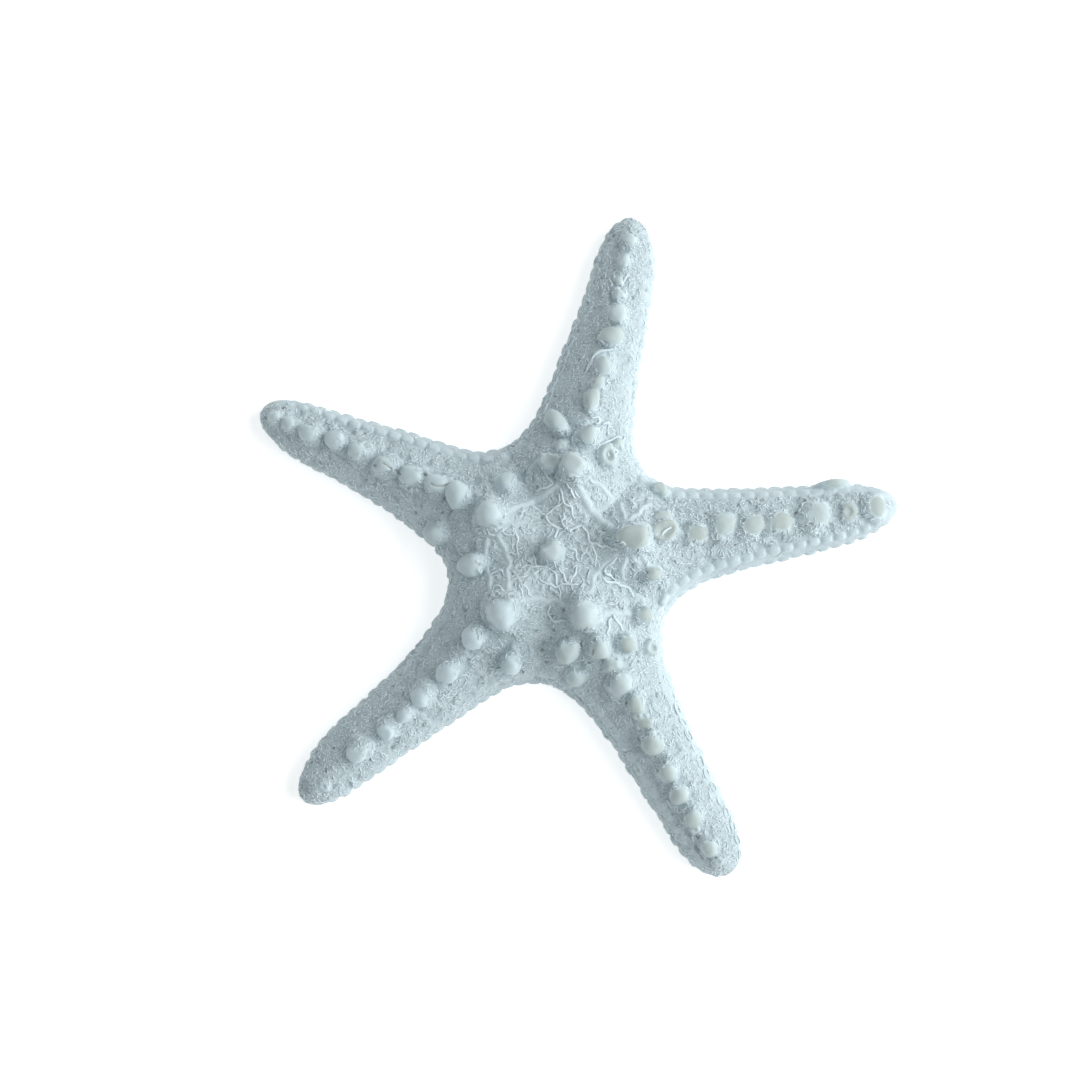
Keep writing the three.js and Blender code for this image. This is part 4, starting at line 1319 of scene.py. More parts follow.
def sweep(tree: GeometryTree, curve: NodeSocket, given: Node) -> NodeSocket:
    """Sweeps a ring of given Sides and Thickness along a curve, scaled by the curve's radius."""
    out = given.outputs
    ring = tree.add("GeometryNodeCurvePrimitiveCircle", Resolution=out["Sides"], Radius=out["Thickness"])
    inputs = {"Curve": curve, "Profile_Curve": ring.outputs[0], "Fill_Caps": True, "Scale": tree.girth}
    return tree.add("GeometryNodeCurveToMesh", **inputs).outputs[0]


def rim(name: str, half: tuple[float, float], girth: float) -> Object:
    """A low closed ridge round a rounded rectangle, of a few dozen faces, its sizes in millimetres."""
    count = 12
    around = np.arange(count) * TURN / count
    power = 0.65
    waves = (np.cos(around), np.sin(around))
    ring = np.column_stack([np.sign(wave) * np.abs(wave) ** power for wave in waves])
    out = ring / np.linalg.norm(ring, axis=1)[:, None]
    middle = ring * half
    rows = [np.column_stack([middle + out * girth * side, np.full(count, girth * rise)])
            for side, rise in ((1, 0), (0, 1), (-1, 0), (0, -1))]
    faces = []
    for row in range(4):
        for i in range(count):
            k = (i + 1) % count
            a, b = row * count, (row + 1) % 4 * count
            faces.append((a + i, a + k, b + k, b + i))
    return mesh_object(name, np.concatenate(rows), faces)


@dataclass
class FineRidges:
    """Crisp thin ridges laid on the skin: the disc's net, the flakes, and the rims of sunken plates."""

    plan: StarPlan
    sinews: Sinews
    plates: EdgePlates
    girth: float = 0.8
    flake_girth: float = 0.9
    sides: int = 5
    rim_half: tuple[float, float] = (0.98, 0.68)
    rim_girth: float = 0.14
    rim_row: PlateRow = PlateRow(
        "plate_rims", half=(0.0, 0.0, 0.0), inward=1.5, on_slope=True, tilt=0.0, shift=0.0
    )
    seed: int = 17

    def landing(
        self, tree: GeometryTree, geometry: NodeSocket, given: Node
    ) -> tuple[NodeSocket, NodeSocket]:
        """Moves points onto the given Skin, raised by the given Lift.

        Args:
            tree: The tree being built.
            geometry: The points or curve to move.
            given: The group's input node.

        Returns:
            The moved geometry and the skin's normal at each of its points.
        """
        skin = tree.mesh_of(given.outputs["Skin"])
        normal = tree.sampled(skin, tree.normal, "FLOAT_VECTOR")
        lift = tree.vector("SCALE", normal, Scale=given.outputs["Lift"])
        raised = tree.vector("ADD", tree.nearest(skin).outputs["Position"], lift)
        moved = tree.add("GeometryNodeSetPosition", Geometry=geometry, Position=raised)
        return moved.outputs[0], normal

    def net(self, skin: Object, material: Material) -> Object:
        """The thin routes and the flakes, swept along lines that lie on the skin."""
        lines = []
        for number, route in enumerate((*ROUTES, *FLAKES)):
            if route.half < self.sinews.least_half:
                line = self.sinews.line(route, number)
                line[:, 3] *= self.girth if number < len(ROUTES) else self.flake_girth
                lines.append(line)
        path = curve_object("net", lines)
        tree = GeometryTree("net")
        given = tree.give(Skin=skin, Lift=0.09 * MM, Sides=self.sides, Thickness=MM)
        laid, _ = self.landing(tree, given.outputs["Geometry"], given)
        tree.finish(sweep(tree, laid, given), material)
        return tree.put_on(path)

    def rims(self, skin: Object, material: Material) -> Object:
        """One rim to each sunken plate of the arm sides that have them."""
        lines = []
        for index, side, start, end in RIMMED:
            notch = index if side > 0 else index - 1
            line = self.plates.edge_line(notch % len(ARMS), self.rim_row)
            along = (line[:, :2] - DISC_CENTRE) @ unit(ARMS[index].heading)
            aside = (line[:, :2] - DISC_CENTRE) @ unit(ARMS[index].heading + 90 * side)
            lines.append(line[(along > start) & (along < end) & (aside > 0)])
        shape = rim("rim", self.rim_half, self.rim_girth)
        path = curve_object("plate_rims", lines)
        tree = GeometryTree("plate_rims")
        pitch = self.plates.pitch * MM
        given = tree.give(Skin=skin, Rim=shape, Lift=0.04 * MM, Pitch=pitch, Seed=self.seed)
        spots = tree.stations(given).outputs
        laid, normal = self.landing(tree, spots["Points"], given)
        turned = tree.aimed("X", "AUTO", Vector=spots["Tangent"])
        tipped = tree.aimed("Z", "X", Rotation=turned, Vector=normal)
        varied = tree.random((0.75, 0.7, 0.5), (1.08, 1.05, 1.3), given.outputs["Seed"])
        size = tree.vector("SCALE", varied, Scale=tree.girth)
        skewed = tree.spun(tipped, tree.random(-0.35, 0.35, given.outputs["Seed"]))
        source = tree.mesh_of(given.outputs["Rim"])
        tree.finish(tree.placed(laid, Instance=source, Rotation=skewed, Scale=size), material)
        made = tree.put_on(path)
        bpy.data.objects.remove(shape)
        return made

    def build(self, skin: Object, material: Material) -> Object:
        """All fine ridges in one piece."""
        whole = joined("fine_ridges", [self.net(skin, material), self.rims(skin, material)])
        face_outward(whole)
        return dress(whole, material)


@dataclass
class GrooveSpines:
    """Rows of small pegs that lean over the grooves of the underside, each with a grain beside it."""

    plan: StarPlan
    pitch: float = 0.95
    peg_aside: float = 1.75
    bead_aside: float = 2.35
    level: float = 0.62
    length: float = 1.35
    half_width: float = 0.24
    start: float = 3.4
    stop_short: float = 4.0
    samples: int = 80
    seed: int = 31

    def peg(self) -> Object:
        """A tapered rod from its foot toward -Y and a little down, of a few dozen faces."""
        count = 6
        around = np.arange(count) * TURN / count
        rows = []
        for share, girth in ((0, 1.0), (0.35, 1.0), (0.7, 0.85), (0.93, 0.6), (1.0, 0.2)):
            out = -self.length * share
            sag = -0.24 * self.length * share**1.5
            rows.append(np.column_stack([self.half_width * girth * np.cos(around), np.full(count, out),
                                         self.half_width * girth * np.sin(around) + sag]))
        return mesh_object("peg", np.concatenate(rows), tube_faces(len(rows), count))

    def lines(self, aside: float, level: float) -> list[np.ndarray]:
        """Lines along both sides of every groove, the groove on their right, with a size factor."""
        found = []
        for arm in ARMS:
            along = np.linspace(self.start, arm.length - self.stop_short, self.samples)
            size = 0.62 + 0.38 * np.clip((arm.length - along) / 30, 0, 1)
            for side in (1, -1):
                flat = to_frame(arm, along, axis_offset(arm, along) + side * aside * size)
                line = np.column_stack([flat, np.full(len(flat), level), size])
                found.append(line if side > 0 else line[::-1])
        return found

    def row(self, name: str, shape: Object, lines: list[np.ndarray]) -> Object:
        """One shape set at even steps along a set of lines, each turned a little by chance."""
        path = curve_object(name, lines)
        tree = GeometryTree(name)
        given = tree.give(Shape=shape, Pitch=self.pitch * MM, Seed=self.seed)
        spots = tree.stations(given).outputs
        turned = tree.aimed("X", "Z", Vector=spots["Tangent"])
        skewed = tree.spun(turned, tree.random(-0.3, 0.3, given.outputs["Seed"]))
        source = tree.mesh_of(given.outputs["Shape"])
        placed = tree.placed(spots["Points"], Instance=source, Rotation=skewed, Scale=tree.girth)
        tree.finish(placed, None)
        made = tree.put_on(path)
        bpy.data.objects.remove(shape)
        return made

    def build(self, material: Material) -> Object:
        """Pegs and beads in one piece."""
        bead = pillow("bead", (0.4, 0.34, 0.26), 0.8, 0.0)
        pegs = self.row("pegs", self.peg(), self.lines(self.peg_aside, self.level))
        beads = self.row("beads", bead, self.lines(self.bead_aside, 0.3))
        whole = joined("groove_spines", [pegs, beads])
        face_outward(whole)
        return dress(whole, material)


@dataclass
class SkinMaker:
    """Fuses body, knobs, plates and sinews into one grown piece and raises its relief."""

    plan: StarPlan
    voxel: float = 0.2
    face_limit: int = 196_000
    under_points: int = 26_000

    def fuse(self, parts: list[Object]) -> Object:
        """Joins closed shapes into a single even skin."""
        whole = joined("starfish_skin", parts, keep=True)
        remesh = whole.modifiers.new("fuse", "REMESH")
        remesh.mode = "VOXEL"
        remesh.voxel_size = self.voxel * MM
        remesh.adaptivity = 0.0
        soften = whole.modifiers.new("soften", "SMOOTH")
        soften.factor = 0.5
        soften.iterations = 2
        return freeze(whole)

    def mark(self, skin: Object) -> None:
        """Stores which arm each place is on, and where the disc, its middle and the underside are."""
        places = places_of(skin.data)
        reading = self.plan.read(places)
        under = 1 - smooth(0.8, 1.6, places[:, 2])
        firsts = [to_frame(arm, arm.knobs[0].along, arm.knobs[0].aside) for arm in ARMS]
        inside = np.full(len(places), 99.0)
        for a, b in zip(firsts, firsts[1:] + firsts[:1]):
            across = np.array([-(b - a)[1], (b - a)[0]]) / np.linalg.norm(b - a)
            inside = np.minimum(inside, (places[:, :2] - a) @ across)
        middle = smooth(0.0, 1.5, inside) * (1 - under)
        disc = (1 - smooth(18, 27, np.hypot(*(places[:, :2] - DISC_CENTRE).T))) * (1 - under)
        wide = np.array(BARE_EDGE)[reading.arm, reading.on_left.astype(int)]
        edge = 1 - smooth(-0.4, 0.4, reading.from_edge - wide)
        trim = np.array(PLATE_BARE)[reading.arm, reading.on_left.astype(int)]
        stored = {"arm": reading.arm, "under": under, "middle": middle, "disc": disc, "edge": edge}
        stored["trim"] = trim
        for name, values in stored.items():
            write_values(skin.data, name, values)

    def nearness(self, tree: GeometryTree, target: NodeSocket, near: float, far: float) -> NodeSocket:
        """1 within near of a mesh, falling to 0 at far, in millimetres."""
        return tree.ramp(tree.nearest(target).outputs["Distance"], near * MM, far * MM, 1.0, 0.0)

    def relief_tree(self, knobs: Object, plates: Object, sinews: Object, marks: Object) -> GeometryTree:
        """The node tree that raises the skin's relief and stores what lies where.

        Args:
            knobs: The knobs before they were fused, with their lift and tint.
            plates: The edge plates before they were fused.
            sinews: The disc's raised lines before they were fused.
            marks: The holes and cuts as upright ribbons.

        Returns:
            The tree.
        """
        tree = GeometryTree("skin_relief")
        given = tree.give(
            Knobs=knobs, Plates=plates, Sinews=sinews, Marks=marks,
            Net_Height=0.3 * MM, Net_Cell=2.6 * MM, Curl_Height=0.13 * MM, Curl_Size=1.5 * MM,
            Lump_Height=0.3 * MM, Pit_Depth=0.24 * MM, Knob_Dent=0.34 * MM, Hollow_Depth=0.3 * MM,
            Hollow_Cell=3.0 * MM, Mark_Depth=0.3 * MM, Paving_Depth=0.24 * MM, Paving_Cell=1.7 * MM,
        )
        out = given.outputs
        shapes = [tree.mesh_of(out[name]) for name in ("Knobs", "Plates", "Sinews", "Marks")]
        where = tree.place
        under, middle, disc = (tree.attribute(name) for name in ("under", "middle", "disc"))

        lift = tree.sampled(shapes[0], tree.attribute("lift"))
        ragged = tree.product(tree.math("SUBTRACT", tree.noise(where, 620.0, 3.0), 0.5), 1.5)
        risen = tree.ramp(tree.math("ADD", lift, ragged), 0.36, 0.56)
        knob = tree.product(self.nearness(tree, shapes[0], 0.16, 0.5), risen)
        plate = tree.product(self.nearness(tree, shapes[1], 0.15, 0.4), tree.inverse(knob))
        sinew = tree.product(self.nearness(tree, shapes[2], 0.1, 0.3), tree.inverse(knob))
        bare = tree.inverse(tree.capped(knob, tree.product(sinew, 0.9)))
        covered = tree.product(plate, tree.attribute("trim"))
        covered = tree.math("MAXIMUM", covered, tree.product(tree.attribute("edge"), 0.95))
        open_skin = tree.product(bare, tree.inverse(covered))

        bent = tree.warped(tree.warped(where, 300.0, 2.2 * MM), 1100.0, 0.7 * MM)
        net = tree.ramp(tree.cracks(bent, tree.math("DIVIDE", 1.0, out["Net Cell"])), 0.02, 0.14, 1.0, 0.0)
        broken = tree.ramp(tree.noise(where, 420.0), 0.4, 0.6, 0.15, 1.0)
        reach = tree.capped(middle, tree.product(disc, 0.5))
        net = tree.product(net, broken, tree.product(reach, open_skin))

        curl_place = tree.warped(where, 500.0, 0.8 * MM)
        wave = tree.noise(curl_place, tree.math("DIVIDE", 1.0, out["Curl Size"]), 1.0)
        curl = tree.ramp(tree.math("ABSOLUTE", tree.math("SUBTRACT", wave, 0.5)), 0.008, 0.05, 1.0, 0.0)
        curl = tree.product(curl, open_skin)
        lump = tree.math("SUBTRACT", tree.noise(where, 330.0, 3.0), 0.5)
        lump = tree.product(lump, open_skin, tree.ramp(middle, 0.0, 1.0, 1.0, 0.45))
        # Sunken pits, stored so that the skin's material paints shade into them.
        pit_cell = tree.cells(where, 520.0).outputs
        chosen = tree.ramp(pit_cell["Color"], 0.45, 0.5)
        pit = tree.product(tree.ramp(pit_cell["Distance"], 0.1, 0.26, 1.0, 0.0), chosen, open_skin)

        rise = tree.product(net, out["Net Height"])
        rise = tree.math("ADD", rise, tree.product(curl, out["Curl Height"]))
        rise = tree.math("ADD", rise, tree.product(lump, out["Lump Height"]))
        rise = tree.math("SUBTRACT", rise, tree.product(pit, out["Pit Depth"]))
        dent = tree.math("SUBTRACT", tree.noise(where, 520.0), 0.55)
        rise = tree.math("ADD", rise, tree.product(dent, knob, out["Knob Dent"]))
        top = tree.inverse(under)
        cell_scale = tree.math("DIVIDE", 1.0, out["Hollow Cell"])
        cell_place = tree.warped(where, 420.0, 0.9 * MM)
        hollow = tree.ramp(tree.cracks(cell_place, cell_scale), 0.13, 0.26)
        picked = tree.ramp(tree.cells(cell_place, cell_scale).outputs["Color"], 0.44, 0.5)
        hollow = tree.product(hollow, picked, tree.product(open_skin, tree.math("SUBTRACT", top, middle)))
        rise = tree.math("SUBTRACT", rise, tree.product(hollow, out["Hollow Depth"]))
        mark = tree.product(self.nearness(tree, shapes[3], 0.04, 0.2), top)
        rise = tree.math("SUBTRACT", rise, tree.product(mark, out["Mark Depth"]))
        paved = tree.warped(where, 300.0, 0.6 * MM)
        paving = tree.cracks(paved, tree.math("DIVIDE", 1.0, out["Paving Cell"]))
        seam = tree.product(tree.ramp(paving, 0.0, 0.3, 1.0, 0.0), under, out["Paving Depth"])
        rise = tree.math("SUBTRACT", tree.product(rise, tree.ramp(under, 0.0, 1.0, 1.0, 0.3)), seam)

        geometry = out["Geometry"]
        stored = {"knob": knob, "plate": plate, "sinew": tree.math("MAXIMUM", sinew, net), "pit": pit,
                  "open_skin": open_skin, "lift": lift, "hollow": hollow, "mark": mark,
                  "tint": tree.sampled(shapes[0], tree.attribute("tint"))}
        for name, value in stored.items():
            settings = {"data_type": "FLOAT", "domain": "POINT"}
            inputs = {"Geometry": geometry, "Name": name, "Value": value}
            geometry = tree.add("GeometryNodeStoreNamedAttribute", settings, **inputs).outputs[0]
        push = tree.vector("SCALE", tree.normal, Scale=rise)
        moved = tree.add("GeometryNodeSetPosition", Geometry=geometry, Offset=push)
        tree.finish(moved.outputs[0], None)
        return tree

    def thin(self, skin: Object) -> Object:
        """Drops faces where the surface is plain, first underneath, until the piece is under its limit."""
        skin.data.calc_loop_triangles()
        count = len(skin.data.loop_triangles)
        under = np.empty(len(skin.data.vertices), np.float32)
        skin.data.attributes["under"].data.foreach_get("value", under)
        low = np.flatnonzero(under > 0.5)
        group = skin.vertex_groups.new(name="underside")
        group.add(low.tolist(), 1.0, "REPLACE")
        shed = 2 * max(0, len(low) - self.under_points)
        first = skin.modifiers.new("fewer_below", "DECIMATE")
        first.vertex_group = group.name
        first.ratio = 1 - shed / count
        skin = freeze(skin)
        skin.data.calc_loop_triangles()
        left = len(skin.data.loop_triangles)
        if left > self.face_limit:
            fewer = skin.modifiers.new("fewer", "DECIMATE")
            fewer.ratio = self.face_limit / left
            skin = freeze(skin)
        log.info("skin thinned from %d to %d and then %d faces", count, left, len(skin.data.polygons))
        return skin

    def build(self, body: Object, knobs: Object, plates: Object,
              sinews: Object, marks: Object, material: Material) -> Object:
        """The finished skin.

        Args:
            body: The plain body.
            knobs: All knobs.
            plates: Both rows of edge plates.
            sinews: The disc's raised lines.
            marks: The holes and cuts as upright ribbons.
            material: The skin's finish.

        Returns:
            One closed piece. The shapes are used up.
        """
        parts = [body, knobs, plates, sinews]
        skin = self.fuse(parts)
        log.info("fused skin has %d vertices", len(skin.data.vertices))
        self.mark(skin)
        skin = self.relief_tree(knobs, plates, sinews, marks).put_on(skin)
        for part in (*parts, marks):
            bpy.data.objects.remove(part)
        skin = self.thin(skin)
        places = places_of(skin.data)
        places[:, 2] = np.maximum(places[:, 2], 0.0)
        skin.data.vertices.foreach_set("co", (places * MM).astype(np.float32).ravel())
        return dress(skin, material)


@dataclass(frozen=True)
class Strew:
    """How one kind of grain is strewn: sizes and spacing in mm, the most to a square mm, and its steps."""

    spacing: float
    density: float
    half_width: float
    lengths: tuple[float, float]
    curl: float
    steps: int


@dataclass
class Grains:
    """The small white curled grains that crowd the open skin, one piece to an arm, and the disc's threads."""

    fine: Strew = Strew(
        spacing=0.41, density=6.8, half_width=0.1, lengths=(0.5, 1.15), curl=2.5, steps=5
    )
    threads: Strew = Strew(
        spacing=0.82, density=1.5, half_width=0.105, lengths=(1.0, 2.3), curl=1.9, steps=7
    )
    shapes: int = 6
    seed: int = 21
    size_seed: int = 5

    def worm(self, number: int, kind: Strew) -> Object:
        """One grain: a curled rod with sunken ends, of a few dozen faces."""
        chance = np.random.default_rng(self.seed + number)
        length = chance.uniform(*kind.lengths)
        curl = chance.uniform(-kind.curl, kind.curl)
        wave = chance.uniform(-0.7, 0.7) * kind.curl / 2.2
        steps, sides = kind.steps, 4
        way = np.linspace(-0.5, 0.5, steps)
        heading = curl * way + wave * np.sin(TURN * way)
        step = length / (steps - 1)
        middle = np.zeros((steps, 3))
        for i in range(1, steps):
            turn = (heading[i] + heading[i - 1]) / 2
            middle[i] = middle[i - 1] + step * np.array([math.cos(turn), math.sin(turn), 0])
        middle -= middle.mean(0)
        middle[:, 2] = 0.04 - 0.8 * way**2 * chance.uniform(0.4, 1.0)
        places = []
        for i in range(steps):
            side_way = np.array([-math.sin(heading[i]), math.cos(heading[i]), 0])
            girth = kind.half_width * (0.55 if i in (0, steps - 1) else chance.uniform(0.85, 1.2))
            for k in range(sides):
                angle = TURN * k / sides + math.pi / 4
                up = np.array([0, 0, girth * math.sin(angle)])
                places.append(middle[i] + side_way * girth * math.cos(angle) + up)
        thing = mesh_object(f"grain_{number}", np.array(places), tube_faces(steps, sides))
        face_outward(thing)
        return thing

    def scatter(self, skin: Object, number: int | None, kit: list[Object], material: Material) -> Object:
        """Strews grains over one arm's share of the skin, or threads over the middle of the disc.

        Args:
            skin: The finished skin.
            number: The arm's number, or None for the middle of the disc.
            kit: The grain shapes.
            material: The grains' finish.

        Returns:
            The grains as one piece.
        """
        kind = self.threads if number is None else self.fine
        name = "disc_threads" if number is None else f"grains_{ARMS[number].name}"
        tree = GeometryTree(name)
        density = kind.density / MM**2
        given = tree.give(Spacing=kind.spacing * MM, Density=density, Arm=float(number or 0), Seed=self.seed)
        out = given.outputs
        if number is None:
            here = tree.math("GREATER_THAN", tree.attribute("middle"), 0.4)
        else:
            off = tree.math("ABSOLUTE", tree.math("SUBTRACT", tree.attribute("arm"), out["Arm"]))
            here = tree.math("LESS_THAN", off, 0.5)
        up = tree.add("ShaderNodeSeparateXYZ", i0=tree.normal).outputs["Z"]
        share = tree.product(tree.attribute("open_skin"), tree.inverse(tree.attribute("under")))
        full = tree.inverse(tree.product(tree.attribute("hollow"), 0.85))
        share = tree.product(share, full, tree.ramp(up, -0.15, 0.2))
        if number is not None:
            patch = tree.ramp(tree.noise(tree.place, 430.0), 0.36, 0.58, 0.5, 1.0)
            outside = tree.inverse(tree.product(tree.attribute("middle"), 0.72))
            share = tree.product(share, patch, outside)
        inputs = {"Mesh": out["Geometry"], "Selection": here, "Distance_Min": out["Spacing"],
                  "Density_Max": out["Density"], "Density_Factor": share, "Seed": out["Seed"]}
        settings = {"distribute_method": "POISSON"}
        spots = tree.add("GeometryNodeDistributePointsOnFaces", settings, **inputs).outputs
        gathered = tree.add("GeometryNodeGeometryToInstance")
        for shape in kit:
            source = tree.add("GeometryNodeObjectInfo", Object=shape, As_Instance=True)
            tree.link(source.outputs["Geometry"], gathered.inputs[0])
        turned = tree.spun(spots["Rotation"], tree.random(0.0, TURN, out["Seed"]))
        size = tree.random(0.6, 1.4, self.size_seed)
        placed = tree.placed(spots["Points"], Instance=gathered.outputs[0], Pick_Instance=True,
                             Rotation=turned, Scale=size)
        tree.finish(placed, material)
        grains = tree.put_on(linked(name, skin.data.copy()))
        shade_smooth(grains)
        for layer in [layer.name for layer in grains.data.attributes if layer.domain == "POINT"]:
            if layer != "position" and not layer.startswith("."):
                grains.data.attributes.remove(grains.data.attributes[layer])
        return grains

    def build(self, skin: Object, material: Material) -> list[Object]:
        """The grains of all five arms and the disc's threads."""
        short = [self.worm(i, self.fine) for i in range(self.shapes)]
        long = [self.worm(i, self.threads) for i in range(self.shapes, 2 * self.shapes)]
        pieces = [self.scatter(skin, i, short, material) for i in range(len(ARMS))]
        pieces.append(self.scatter(skin, None, long, material))
        for shape in (*short, *long):
            bpy.data.objects.remove(shape)
        return pieces


def srgb(red: float, green: float, blue: float) -> tuple[float, float, float, float]:
    """A screen colour, 0 to 255, as the linear colour that a material takes."""
    def linear(value: float) -> float:
        """One channel."""
        share = value / 255
        return share / 12.92 if share <= 0.04045 else ((share + 0.055) / 1.055) ** 2.4
    return (linear(red), linear(green), linear(blue), 1.0)


def even_material(name: str, **inputs: Any) -> Material:
    """A material of even values, each given by its shader input's name, with _ for a space."""
    material = bpy.data.materials.new(name)
    material.use_nodes = True
    shader = material.node_tree.nodes["Principled BSDF"]
    for label, value in inputs.items():
        shader.inputs[label.replace("_", " ")].default_value = value
    return material


@dataclass(frozen=True)
class SkinFinish:
    """Chalky blue-white skin and waxy ivory knobs. Painted shade makes the pits and pore dots grey and the
    holes and cuts brownish dark; painted light makes the raised lines lighter, partly their own paler colour.
    """

    # Painted shade: the grey that the pits, the pore dots and the specks are darkened toward, with a warm
    # tint.
    pit: tuple[float, float, float, float] = srgb(135, 138, 136)
    ground: tuple[float, float, float, float] = srgb(182, 198, 203)
    pale: tuple[float, float, float, float] = srgb(194, 209, 214)
    # Lighter colour of the raised lines and plates: partly their own paler colour, partly painted light where
    # raised parts catch the light.
    ridge: tuple[float, float, float, float] = srgb(202, 217, 222)
    knob: tuple[float, float, float, float] = srgb(201, 218, 224)
    ivory: tuple[float, float, float, float] = srgb(175, 187, 185)
    # Painted shade inside the holes and cuts, with a brownish tint.
    hole_shade_brown: tuple[float, float, float, float] = srgb(140, 130, 114)

    def make(self) -> Material:
        """Builds the material."""
        material = even_material("starfish_skin", Roughness=0.62, Specular_IOR_Level=0.35,
                                 Subsurface_Weight=0.45, Subsurface_Radius=(1.0, 0.95, 0.9),
                                 Subsurface_Scale=1.1 * MM)
        tree = Tree(material.node_tree)
        shader = material.node_tree.nodes["Principled BSDF"]
        where = tree.add("ShaderNodeTexCoord").outputs["Object"]

        knob, sinew, pit, plate = (tree.attribute(name) for name in ("knob", "sinew", "pit", "plate"))
        fine = tree.cracks(tree.warped(where, 1900.0, 0.35 * MM), 2300.0)
        thread = tree.product(tree.ramp(fine, 0.02, 0.2, 1.0, 0.0), tree.inverse(plate))
        blotch = tree.ramp(tree.noise(where, 300.0, 4.0), 0.35, 0.68)
        ground = tree.mix(blotch, self.ground, self.pale)
        # Partly painted light: the fine threads, the sinews and net, and the edge plates are made lighter
        # toward the ridge colour, as raised parts catching the light.
        raised = tree.capped(tree.product(thread, 0.4), sinew)
        raised = tree.math("MAXIMUM", raised, tree.product(plate, 0.35))
        skin = tree.mix(raised, ground, self.ridge)
        # Painted shade: the sunken pits, and pore dots that have no hole, are darkened toward the pit grey as
        # if in shadow; noise specks darken it too.
        speck = tree.ramp(tree.noise(where, 1500.0), 0.68, 0.74)
        pore = tree.ramp(tree.cells(where, 1350.0).outputs["Distance"], 0.18, 0.36, 1.0, 0.0)
        pore = tree.product(pore, tree.attribute("open_skin"))
        dark = tree.math("ADD", tree.product(pit, 0.5), tree.product(speck, 0.3))
        skin = tree.mix(tree.capped(dark, tree.product(pore, 0.36)), skin, self.pit)
        warm = tree.product(tree.attribute("tint"), tree.ramp(tree.attribute("lift"), 0.3, 0.75))
        waxy = tree.mix(warm, self.knob, self.ivory)
        # Painted shade: near the holes and cuts the colour turns brownish dark, standing for the shade inside
        # them.
        hole_shade = tree.product(tree.attribute("mark"), 0.6)
        whole = tree.mix(hole_shade, tree.mix(knob, skin, waxy), self.hole_shade_brown)
        tree.link(whole, shader.inputs["Base Color"])

        rough = tree.math("ADD", tree.product(thread, 0.6), tree.noise(where, 3200.0))
        rough = tree.product(rough, tree.inverse(tree.product(knob, 0.85)))
        bump = tree.add("ShaderNodeBump", Strength=0.7, Distance=0.1 * MM, Height=rough)
        tree.link(bump.outputs[0], shader.inputs["Normal"])
        return material


@dataclass(frozen=True)
class GrainFinish:
    """The grains' plain chalk white."""

    colour: tuple[float, float, float, float] = srgb(215, 229, 234)

    def make(self) -> Material:
        """Builds the material."""
        return even_material("chalk_grain", Base_Color=self.colour, Roughness=0.5, Specular_IOR_Level=0.4)


@dataclass(frozen=True)
class FloorFinish:
    """Plain pale sheet, lit softly from below so that shadows stay light."""

    colour: tuple[float, float, float, float] = (0.88, 0.88, 0.88, 1.0)
    glow: float = 0.5

    def make(self) -> Material:
        """Builds the material."""
        return even_material("floor_paper", Base_Color=self.colour, Roughness=0.9,
                             Emission_Color=(1.0, 1.0, 1.0, 1.0), Emission_Strength=self.glow)


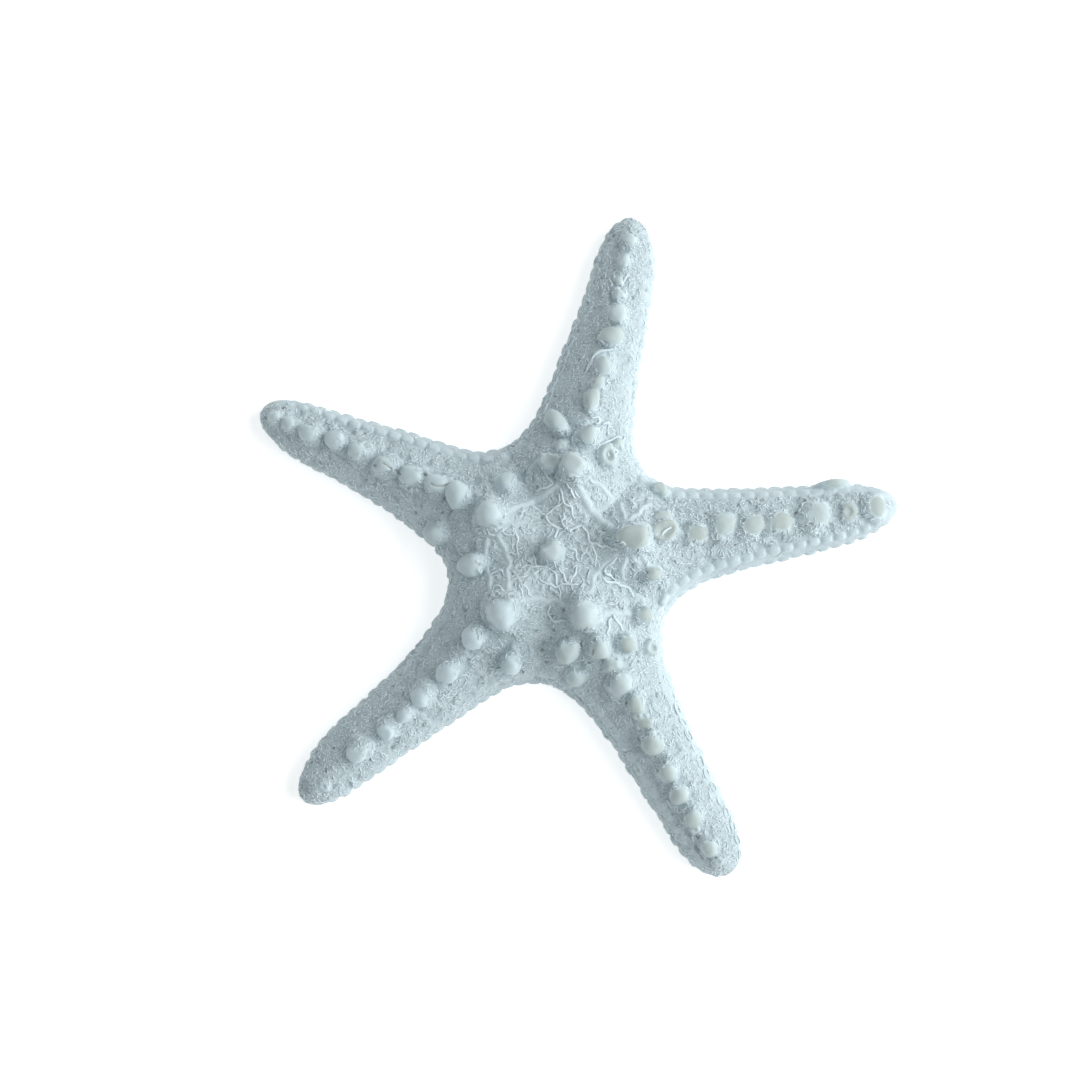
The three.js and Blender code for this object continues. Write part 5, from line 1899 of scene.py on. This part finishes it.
@dataclass
class Studio:
    """Pale floor, soft light from the right, and the camera looking down on the animal."""

    view: View = field(default_factory=View)
    floor_drop: float = 0.05
    floor_reach: float = 1500.0
    light_distance: float = 0.7
    sky: tuple[float, float, float, float] = (0.94, 0.985, 1.0, 1.0)
    sky_strength: float = 0.46

    def floor(self) -> None:
        """A wide floor just under the resting surface."""
        reach = self.floor_reach
        corners = [(-reach, -reach), (reach, -reach), (reach, reach), (-reach, reach)]
        places = np.array([(x, y, -self.floor_drop) for x, y in corners])
        ground = mesh_object("floor", places, [(0, 1, 2, 3)])
        ground.data.materials.append(FloorFinish().make())

    def light(self, name: str, azimuth: float, height: float, size: float, power: float) -> None:
        """A soft square light facing the animal, its direction in degrees, size in metres, power in watts."""
        flat = math.cos(math.radians(height))
        turn = math.radians(azimuth)
        away = Vector((flat * math.cos(turn), flat * math.sin(turn), math.sin(math.radians(height))))
        data = bpy.data.lights.new(name, "AREA")
        data.size = size
        data.energy = power
        lamp = linked(name, data)
        lamp.location = away * self.light_distance
        lamp.rotation_euler = (-away).to_track_quat("-Z", "Y").to_euler()

    def camera(self) -> None:
        """The camera at the photo's angle."""
        data = bpy.data.cameras.new("camera")
        data.lens = self.view.lens
        data.sensor_width = self.view.sensor
        data.clip_start, data.clip_end = 0.01, 10.0
        lens = linked("camera", data)
        lens.location = Vector(self.view.eye) * MM
        lens.rotation_euler = Vector(self.view.ahead).to_track_quat("-Z", "Y").to_euler()
        bpy.context.scene.camera = lens

    def build(self) -> None:
        """Sets the whole stage."""
        self.camera()
        self.floor()
        self.light("key", azimuth=4.0, height=35.0, size=0.8, power=6.2)
        world = bpy.data.worlds.new("studio")
        world.use_nodes = True
        backdrop = world.node_tree.nodes["Background"]
        backdrop.inputs["Color"].default_value = self.sky
        backdrop.inputs["Strength"].default_value = self.sky_strength
        bpy.context.scene.world = world
        bpy.context.scene.view_settings.view_transform = "Standard"


def main() -> None:
    """Builds the stage and the animal, in order."""
    logging.basicConfig(level=logging.INFO, format="%(message)s")
    Studio().build()
    plan = StarPlan()
    edge_plates = EdgePlates(plan)
    disc_sinews = Sinews(plan)
    body = BodyShell(plan).build()
    knobs = KnobCarver(plan).build()
    plates = edge_plates.build()
    sinews = disc_sinews.build()
    for part in (body, knobs, plates, sinews):
        log.info("%s: %d faces", part.name, len(part.data.polygons))
    skin = SkinMaker(plan).build(body, knobs, plates, sinews, stand_marks(plan), SkinFinish().make())
    chalk = GrainFinish().make()
    ridges = FineRidges(plan, disc_sinews, edge_plates).build(skin, chalk)
    spines = GrooveSpines(plan).build(chalk)
    grains = Grains().build(skin, chalk)
    for piece in (skin, ridges, spines, *grains):
        piece.data.calc_loop_triangles()
        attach(piece, BODY)
        log.info("%s: %d triangles", piece.name, len(piece.data.loop_triangles))
    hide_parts(NODE)


if __name__ == "__main__":
    main()
